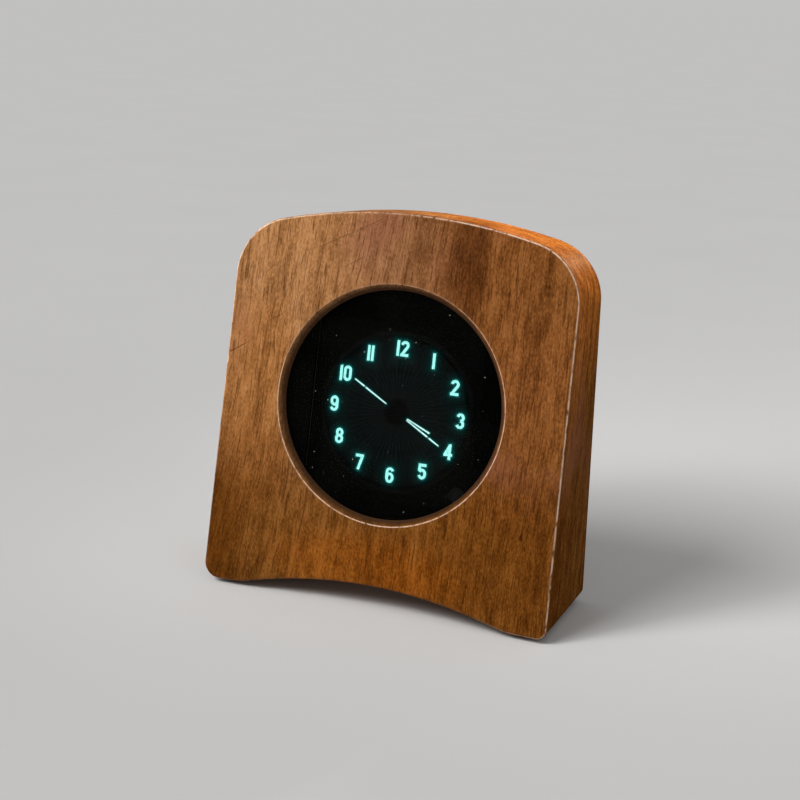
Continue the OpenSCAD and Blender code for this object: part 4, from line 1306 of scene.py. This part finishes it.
FINISHED: dict[Finish, Sequence[str]] = {
    Finish.BLACK_FRAME: ["display_frame"],
    Finish.BLACK_STEEL: ["frame_screws"],
    Finish.CLEAR: ["tube_front_glass", "tube_exhaust_tip"],
    Finish.SEAL: ["tube_wall"],
    Finish.BASE: ["tube_base_glass"],
    Finish.GETTER: ["tube_getter"],
    Finish.MESH: ["control_grid", "filaments", "filament_anchor", "filament_spring"],
    Finish.NICKEL: ["tube_pins", "jack_nut", "jack_tab"],
    Finish.FOAM: ["tube_pads"],
    Finish.BOARD: ["display_board", "control_board"],
    Finish.BRASS: ["board_inserts", "cover_inserts"],
    Finish.STEEL: ["board_screws", "post_screws", "coin_cell", "cover_screws"],
    Finish.CHIP: [
        "driver_chips", "microcontroller", "clock_chip", "boost_transistor", "chip_resistors",
    ],
    Finish.IVORY: [
        "display_socket", "control_socket", "mode_plunger", "hour_plunger", "minute_plunger",
    ],
    Finish.FLAT_CABLE: ["flat_cable"],
    Finish.CAN: ["watch_crystal", "supply_capacitors"],
    Finish.HOUSING: ["cell_holder", "switch_housings"],
    Finish.BRONZE: ["cell_clip"],
    Finish.FERRITE: ["boost_inductor"],
    Finish.COVER: ["back_cover"],
    Finish.LEAD: ["power_leads"],
}


@dataclass
class BackFittings:
    """What a hand meets at the back and below: keys, the power inlet and the rubber feet."""

    lift: float = 1.5
    cover_out: float = 21.0
    key_up: float = 57.0
    key_pitch: float = 14.0
    key_radius: float = 2.9
    key_top: float = 22.2
    collar: float = 4.0
    collar_back: float = 18.2
    collar_front: float = 17.2
    plunger: float = 1.73
    plunger_top: float = 17.8
    inlet: tuple[float, float] = (28.0, 27.0)
    bore: float = 2.8
    barrel: float = 4.0
    flange: float = 5.2
    inlet_floor: float = 12.7
    inlet_back: float = 9.2
    inlet_rise: float = 1.2
    pin: float = 1.05
    pin_foot: float = 7.2
    pin_tip: float = 20.7
    foot_across: float = 50.9
    foot_deep: float = 15.0
    foot_radius: float = 3.9
    foot_top: float = 2.5

    def key(self, name: str, across: float, material: bpy.types.Material) -> None:
        """One key: a collared plug with a dished, softly rounded end and a socket for its
        plunger, turned about its own axis.

        Args:
            name: The key's node.
            across: The key's place.
            material: Its finish.
        """
        r, top = self.key_radius, self.key_top
        socket = [(0.0, self.plunger_top, 0.0), (self.plunger, self.plunger_top, 0.0)]
        inner = (self.plunger, self.collar_front, 0.0)
        collar = [(self.collar, self.collar_front, 0.15), (self.collar, self.collar_back, 0.15)]
        side = [(r, self.collar_back, 0.0), (r, top, 0.45)]
        dish = [(r - 0.9, top - 0.02, 0.3), (r - 1.4, top - 0.28, 0.4), (0.0, top - 0.36, 0.0)]
        line = rounded([*socket, inner, *collar, *side, *dish], 5)
        piece = Piece(name + "_cap")
        piece.add(turned(line, (across, self.lift + self.key_up), 56), False, True)
        piece.build(material, name.replace("_key", "_button"), name, [name])

    def power_inlet(self) -> None:
        """The inlet's body and its contact pin, each turned about the inlet's axis."""
        place = (self.inlet[0], self.lift + self.inlet[1])
        out = self.cover_out + self.inlet_rise
        hole, neck, step = self.pin + 0.02, self.barrel - 0.5, self.inlet_floor - 0.2
        start = (hole, self.inlet_back, 0.0)
        below = [start, (neck, self.inlet_back, 0.2), (neck, step, 0.0)]
        barrel = [(self.barrel, step, 0.2), (self.barrel, self.cover_out, 0.0)]
        flange = [(self.flange, self.cover_out, 0.0), (self.flange, out, 0.5)]
        mouth = [(self.bore + 0.5, out, 0.2), (self.bore, out - 0.5, 0.2)]
        well = [(self.bore, self.inlet_floor, 0.0), (hole, self.inlet_floor, 0.0), start]
        line = rounded([*below, *barrel, *flange, *mouth, *well], 5)
        body = Piece("inlet_body")
        body.add(turned(line[:-1], place, 72), True, True)
        body.build(Finish.HOUSING.value.build(), CLOCK, "power_jack", ["power_jack"])
        foot, tip = self.pin_foot, self.pin_tip
        line = rounded([(0.0, foot, 0.0), (self.pin, foot, 0.1), (self.pin, tip, 0.7), (0.0, tip, 0.0)])
        pin = Piece("inlet_pin")
        pin.add(turned(line, place, 32), False, True)
        pin.build(Finish.NICKEL.value.build(), CLOCK, "jack_pin", ["jack_pin"])

    def rubber_feet(self) -> None:
        """Four rubber discs with soft lower edges, turned about upright axes."""
        r, top = self.foot_radius, self.foot_top
        line = rounded([(0.0, 0.0, 0.0), (r, 0.0, 0.5), (r, top, 0.0), (0.0, top, 0.0)])
        piece = Piece("rubber_discs")
        for across in (-self.foot_across, self.foot_across):
            for deep in (-self.foot_deep, self.foot_deep):
                disc = turned(line, (across, -deep), 48)[..., [0, 2, 1]]
                piece.add(disc * [1, -1, 1], False, True)
        piece.build(Finish.RUBBER.value.build(), CLOCK, "rubber_feet", ["rubber_feet"])

    def build(self) -> None:
        """Makes the keys, the inlet and the feet."""
        material = Finish.KEY.value.build()
        for i, name in enumerate(("mode_key", "hour_key", "minute_key")):
            self.key(name, (i - 1) * self.key_pitch, material)
        self.power_inlet()
        self.rubber_feet()


def soften(node: str, width: float) -> None:
    """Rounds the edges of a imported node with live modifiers: its loose triangles are welded,
    its flat faces joined, and edges sharper than 35 degrees bevelled.

    Args:
        node: The node's name.
        width: Width of the rounded edge, in millimetres.
    """
    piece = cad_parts[node]
    weld = piece.modifiers.new("weld", "WELD")
    weld.merge_threshold = 1e-6
    flat = piece.modifiers.new("flat_faces", "DECIMATE")
    flat.decimate_type, flat.angle_limit = "DISSOLVE", math.radians(1)
    edge = piece.modifiers.new("soft_edges", "BEVEL")
    edge.width, edge.segments, edge.limit_method = width * MM, 2, "ANGLE"
    edge.angle_limit = math.radians(35)
    edge.harden_normals = True


# The studio


@dataclass(frozen=True)
class Lamp:
    """A soft lamp that looks at a point of the clock, or a far sun if it has no size. `spread`
    is the sun's width in the sky, or how far an area lamp's light fans out, in degrees."""

    name: str
    place: Point
    look: Point
    size: tuple[float, float]
    power: float
    colour: Colour = (1.0, 1.0, 1.0)
    spread: float = 180.0

    def build(self) -> None:
        """Hangs the lamp."""
        far = max(self.size) == 0
        data = bpy.data.lights.new(self.name, "SUN" if far else "AREA")
        data.energy, data.color = self.power, self.colour
        if far:
            data.angle = math.radians(self.spread)
        else:
            data.shape, data.size, data.size_y = "RECTANGLE", *self.size
            data.spread = math.radians(self.spread)
        lamp = linked(self.name, data)
        lamp.matrix_world = looking(self.place, self.look)
        lamp.visible_camera = False


def looking(place: Sequence[float], look: Sequence[float], roll: float = 0.0) -> Matrix:
    """A matrix for a lamp or camera: its own -Z runs to the point it looks at.

    Args:
        place: Where it stands.
        look: The point it looks at.
        roll: Turn about its own axis, in radians.

    Returns:
        The matrix.
    """
    back = np.subtract(place, look)
    back = back / np.linalg.norm(back)
    side = np.cross((0.0, 0.0, 1.0), back)
    side = side / np.linalg.norm(side)
    rise = np.cross(back, side)
    right = math.cos(roll) * side + math.sin(roll) * rise
    up = -math.sin(roll) * side + math.cos(roll) * rise
    columns = np.stack([right, up, back, place], axis=1)
    return Matrix([*columns.tolist(), (0.0, 0.0, 0.0, 1.0)])


WARM: Colour = (1.0, 0.98, 0.95)
AMBER: Colour = (1.0, 0.78, 0.52)
MIDDLE: Point = (0.0, 0.0, 0.07)
LEFT_CROWN: Point = (-0.035, 0.0, 0.145)
RIGHT_CROWN: Point = (0.03, 0.0, 0.128)


@dataclass
class Studio:
    """A pale floor, soft lamps and the camera at the photograph's angle. The lamps are a broad
    far one and a small near one ahead on the left, a low one behind that grazes the crown, and
    two whose light on the right draws the side and the corner."""

    centre: Point = (-0.0226, 0.0, 0.08339)
    azimuth: float = 22.824
    elevation: float = 12.189
    roll: float = 0.03965
    distance: float = 0.54547
    focal: float = 1643.68
    shift: tuple[float, float] = (0.075, -0.0741)
    sensor: float = 36.0
    frame: int = 800
    floor_size: float = 60.0
    floor_colour: Colour = (0.72, 0.715, 0.71)
    sky: Colour = (1.0, 1.0, 1.0)
    sky_light: float = 0.36
    backdrop: Colour = (0.533, 0.533, 0.527)
    lamps: tuple[Lamp, ...] = (
        Lamp("broad_lamp", (-4.5, -6.0, 6.6), MIDDLE, (0.0, 0.0), 1.9, spread=32.0),
        Lamp("near_lamp", (-0.2, -0.26, 0.3), LEFT_CROWN, (0.12, 0.12), 0.1, WARM, 52.0),
        Lamp("crown_lamp", (0.1, 0.25, 0.2), RIGHT_CROWN, (0.05, 0.05), 0.13, AMBER, 22.0),
        Lamp("side_strip", (0.9, -0.42, 0.2), MIDDLE, (0.05, 0.5), 0.14, WARM),
        Lamp("corner_lamp", (0.5, -0.36, 0.75), MIDDLE, (0.12, 0.12), 0.18, WARM),
    )

    def camera(self) -> None:
        """Sets the camera that was fitted to the photograph."""
        a, e = math.radians(self.azimuth), math.radians(self.elevation)
        back = np.array([math.sin(a) * math.cos(e), -math.cos(a) * math.cos(e), math.sin(e)])
        data = bpy.data.cameras.new("camera")
        data.sensor_width = self.sensor
        data.lens = self.focal * self.sensor / self.frame
        data.shift_x, data.shift_y = self.shift
        data.clip_start, data.clip_end = 0.01, 100
        camera = linked("camera", data)
        place = np.add(self.centre, back * self.distance)
        camera.matrix_world = looking(place, self.centre, self.roll)
        bpy.context.scene.camera = camera

    def floor(self) -> None:
        """Lays the floor, a large pale sheet."""
        half = self.floor_size / 2
        mesh = bpy.data.meshes.new("studio_floor")
        corners = [(-half, -half, 0), (half, -half, 0), (half, half, 0), (-half, half, 0)]
        mesh.from_pydata(corners, [], [(0, 1, 2, 3)])
        g = Graph("pale_floor")
        pale = g.mix(g.cloud(120), self.floor_colour, scaled(self.floor_colour, 0.96))
        mesh.materials.append(g.finish(base_color=pale, roughness=0.8, ior_level=0.0))
        floor = linked("studio_floor", mesh)

    def world(self) -> None:
        """Sets an even sky, which the camera, gloss and glass see in the far floor's grey."""
        world = bpy.data.worlds.new("pale_sky")
        world.use_nodes = True
        tree = world.node_tree
        sky = tree.nodes["Background"]
        sky.inputs["Color"].default_value = (*self.sky, 1.0)
        sky.inputs["Strength"].default_value = self.sky_light
        seen = tree.nodes.new("ShaderNodeBackground")
        seen.inputs["Color"].default_value = (*self.backdrop, 1.0)
        path = tree.nodes.new("ShaderNodeLightPath")
        last = sky
        for ray in ("Is Camera Ray", "Is Glossy Ray", "Is Transmission Ray"):
            mix = tree.nodes.new("ShaderNodeMixShader")
            tree.links.new(path.outputs[ray], mix.inputs[0])
            tree.links.new(last.outputs[0], mix.inputs[1])
            tree.links.new(seen.outputs[0], mix.inputs[2])
            last = mix
        tree.links.new(last.outputs[0], tree.nodes["World Output"].inputs[0])
        bpy.context.scene.world = world

    def build(self) -> None:
        """Sets up the whole studio."""
        bpy.context.scene.view_settings.view_transform = "Standard"
        self.camera()
        self.floor()
        for lamp in self.lamps:
            lamp.build()
        self.world()


def main() -> None:
    """Builds the clock, part by part, and its studio."""
    logging.basicConfig(level=logging.INFO, format="%(name)s: %(message)s")
    Studio().build()
    plane = FacePlane()
    for finish, nodes in FINISHED.items():
        material = finish.value.build()
        for node in nodes:
            dress(node, material)
    WoodenCase(plane).build()
    dress("window_pane", SmokedPane().build())
    LitDial(plane).build()
    BackFittings().build()
    soften("back_cover", 0.35)
    soften("cover_screws", 0.1)


if __name__ == "__main__":
    main()
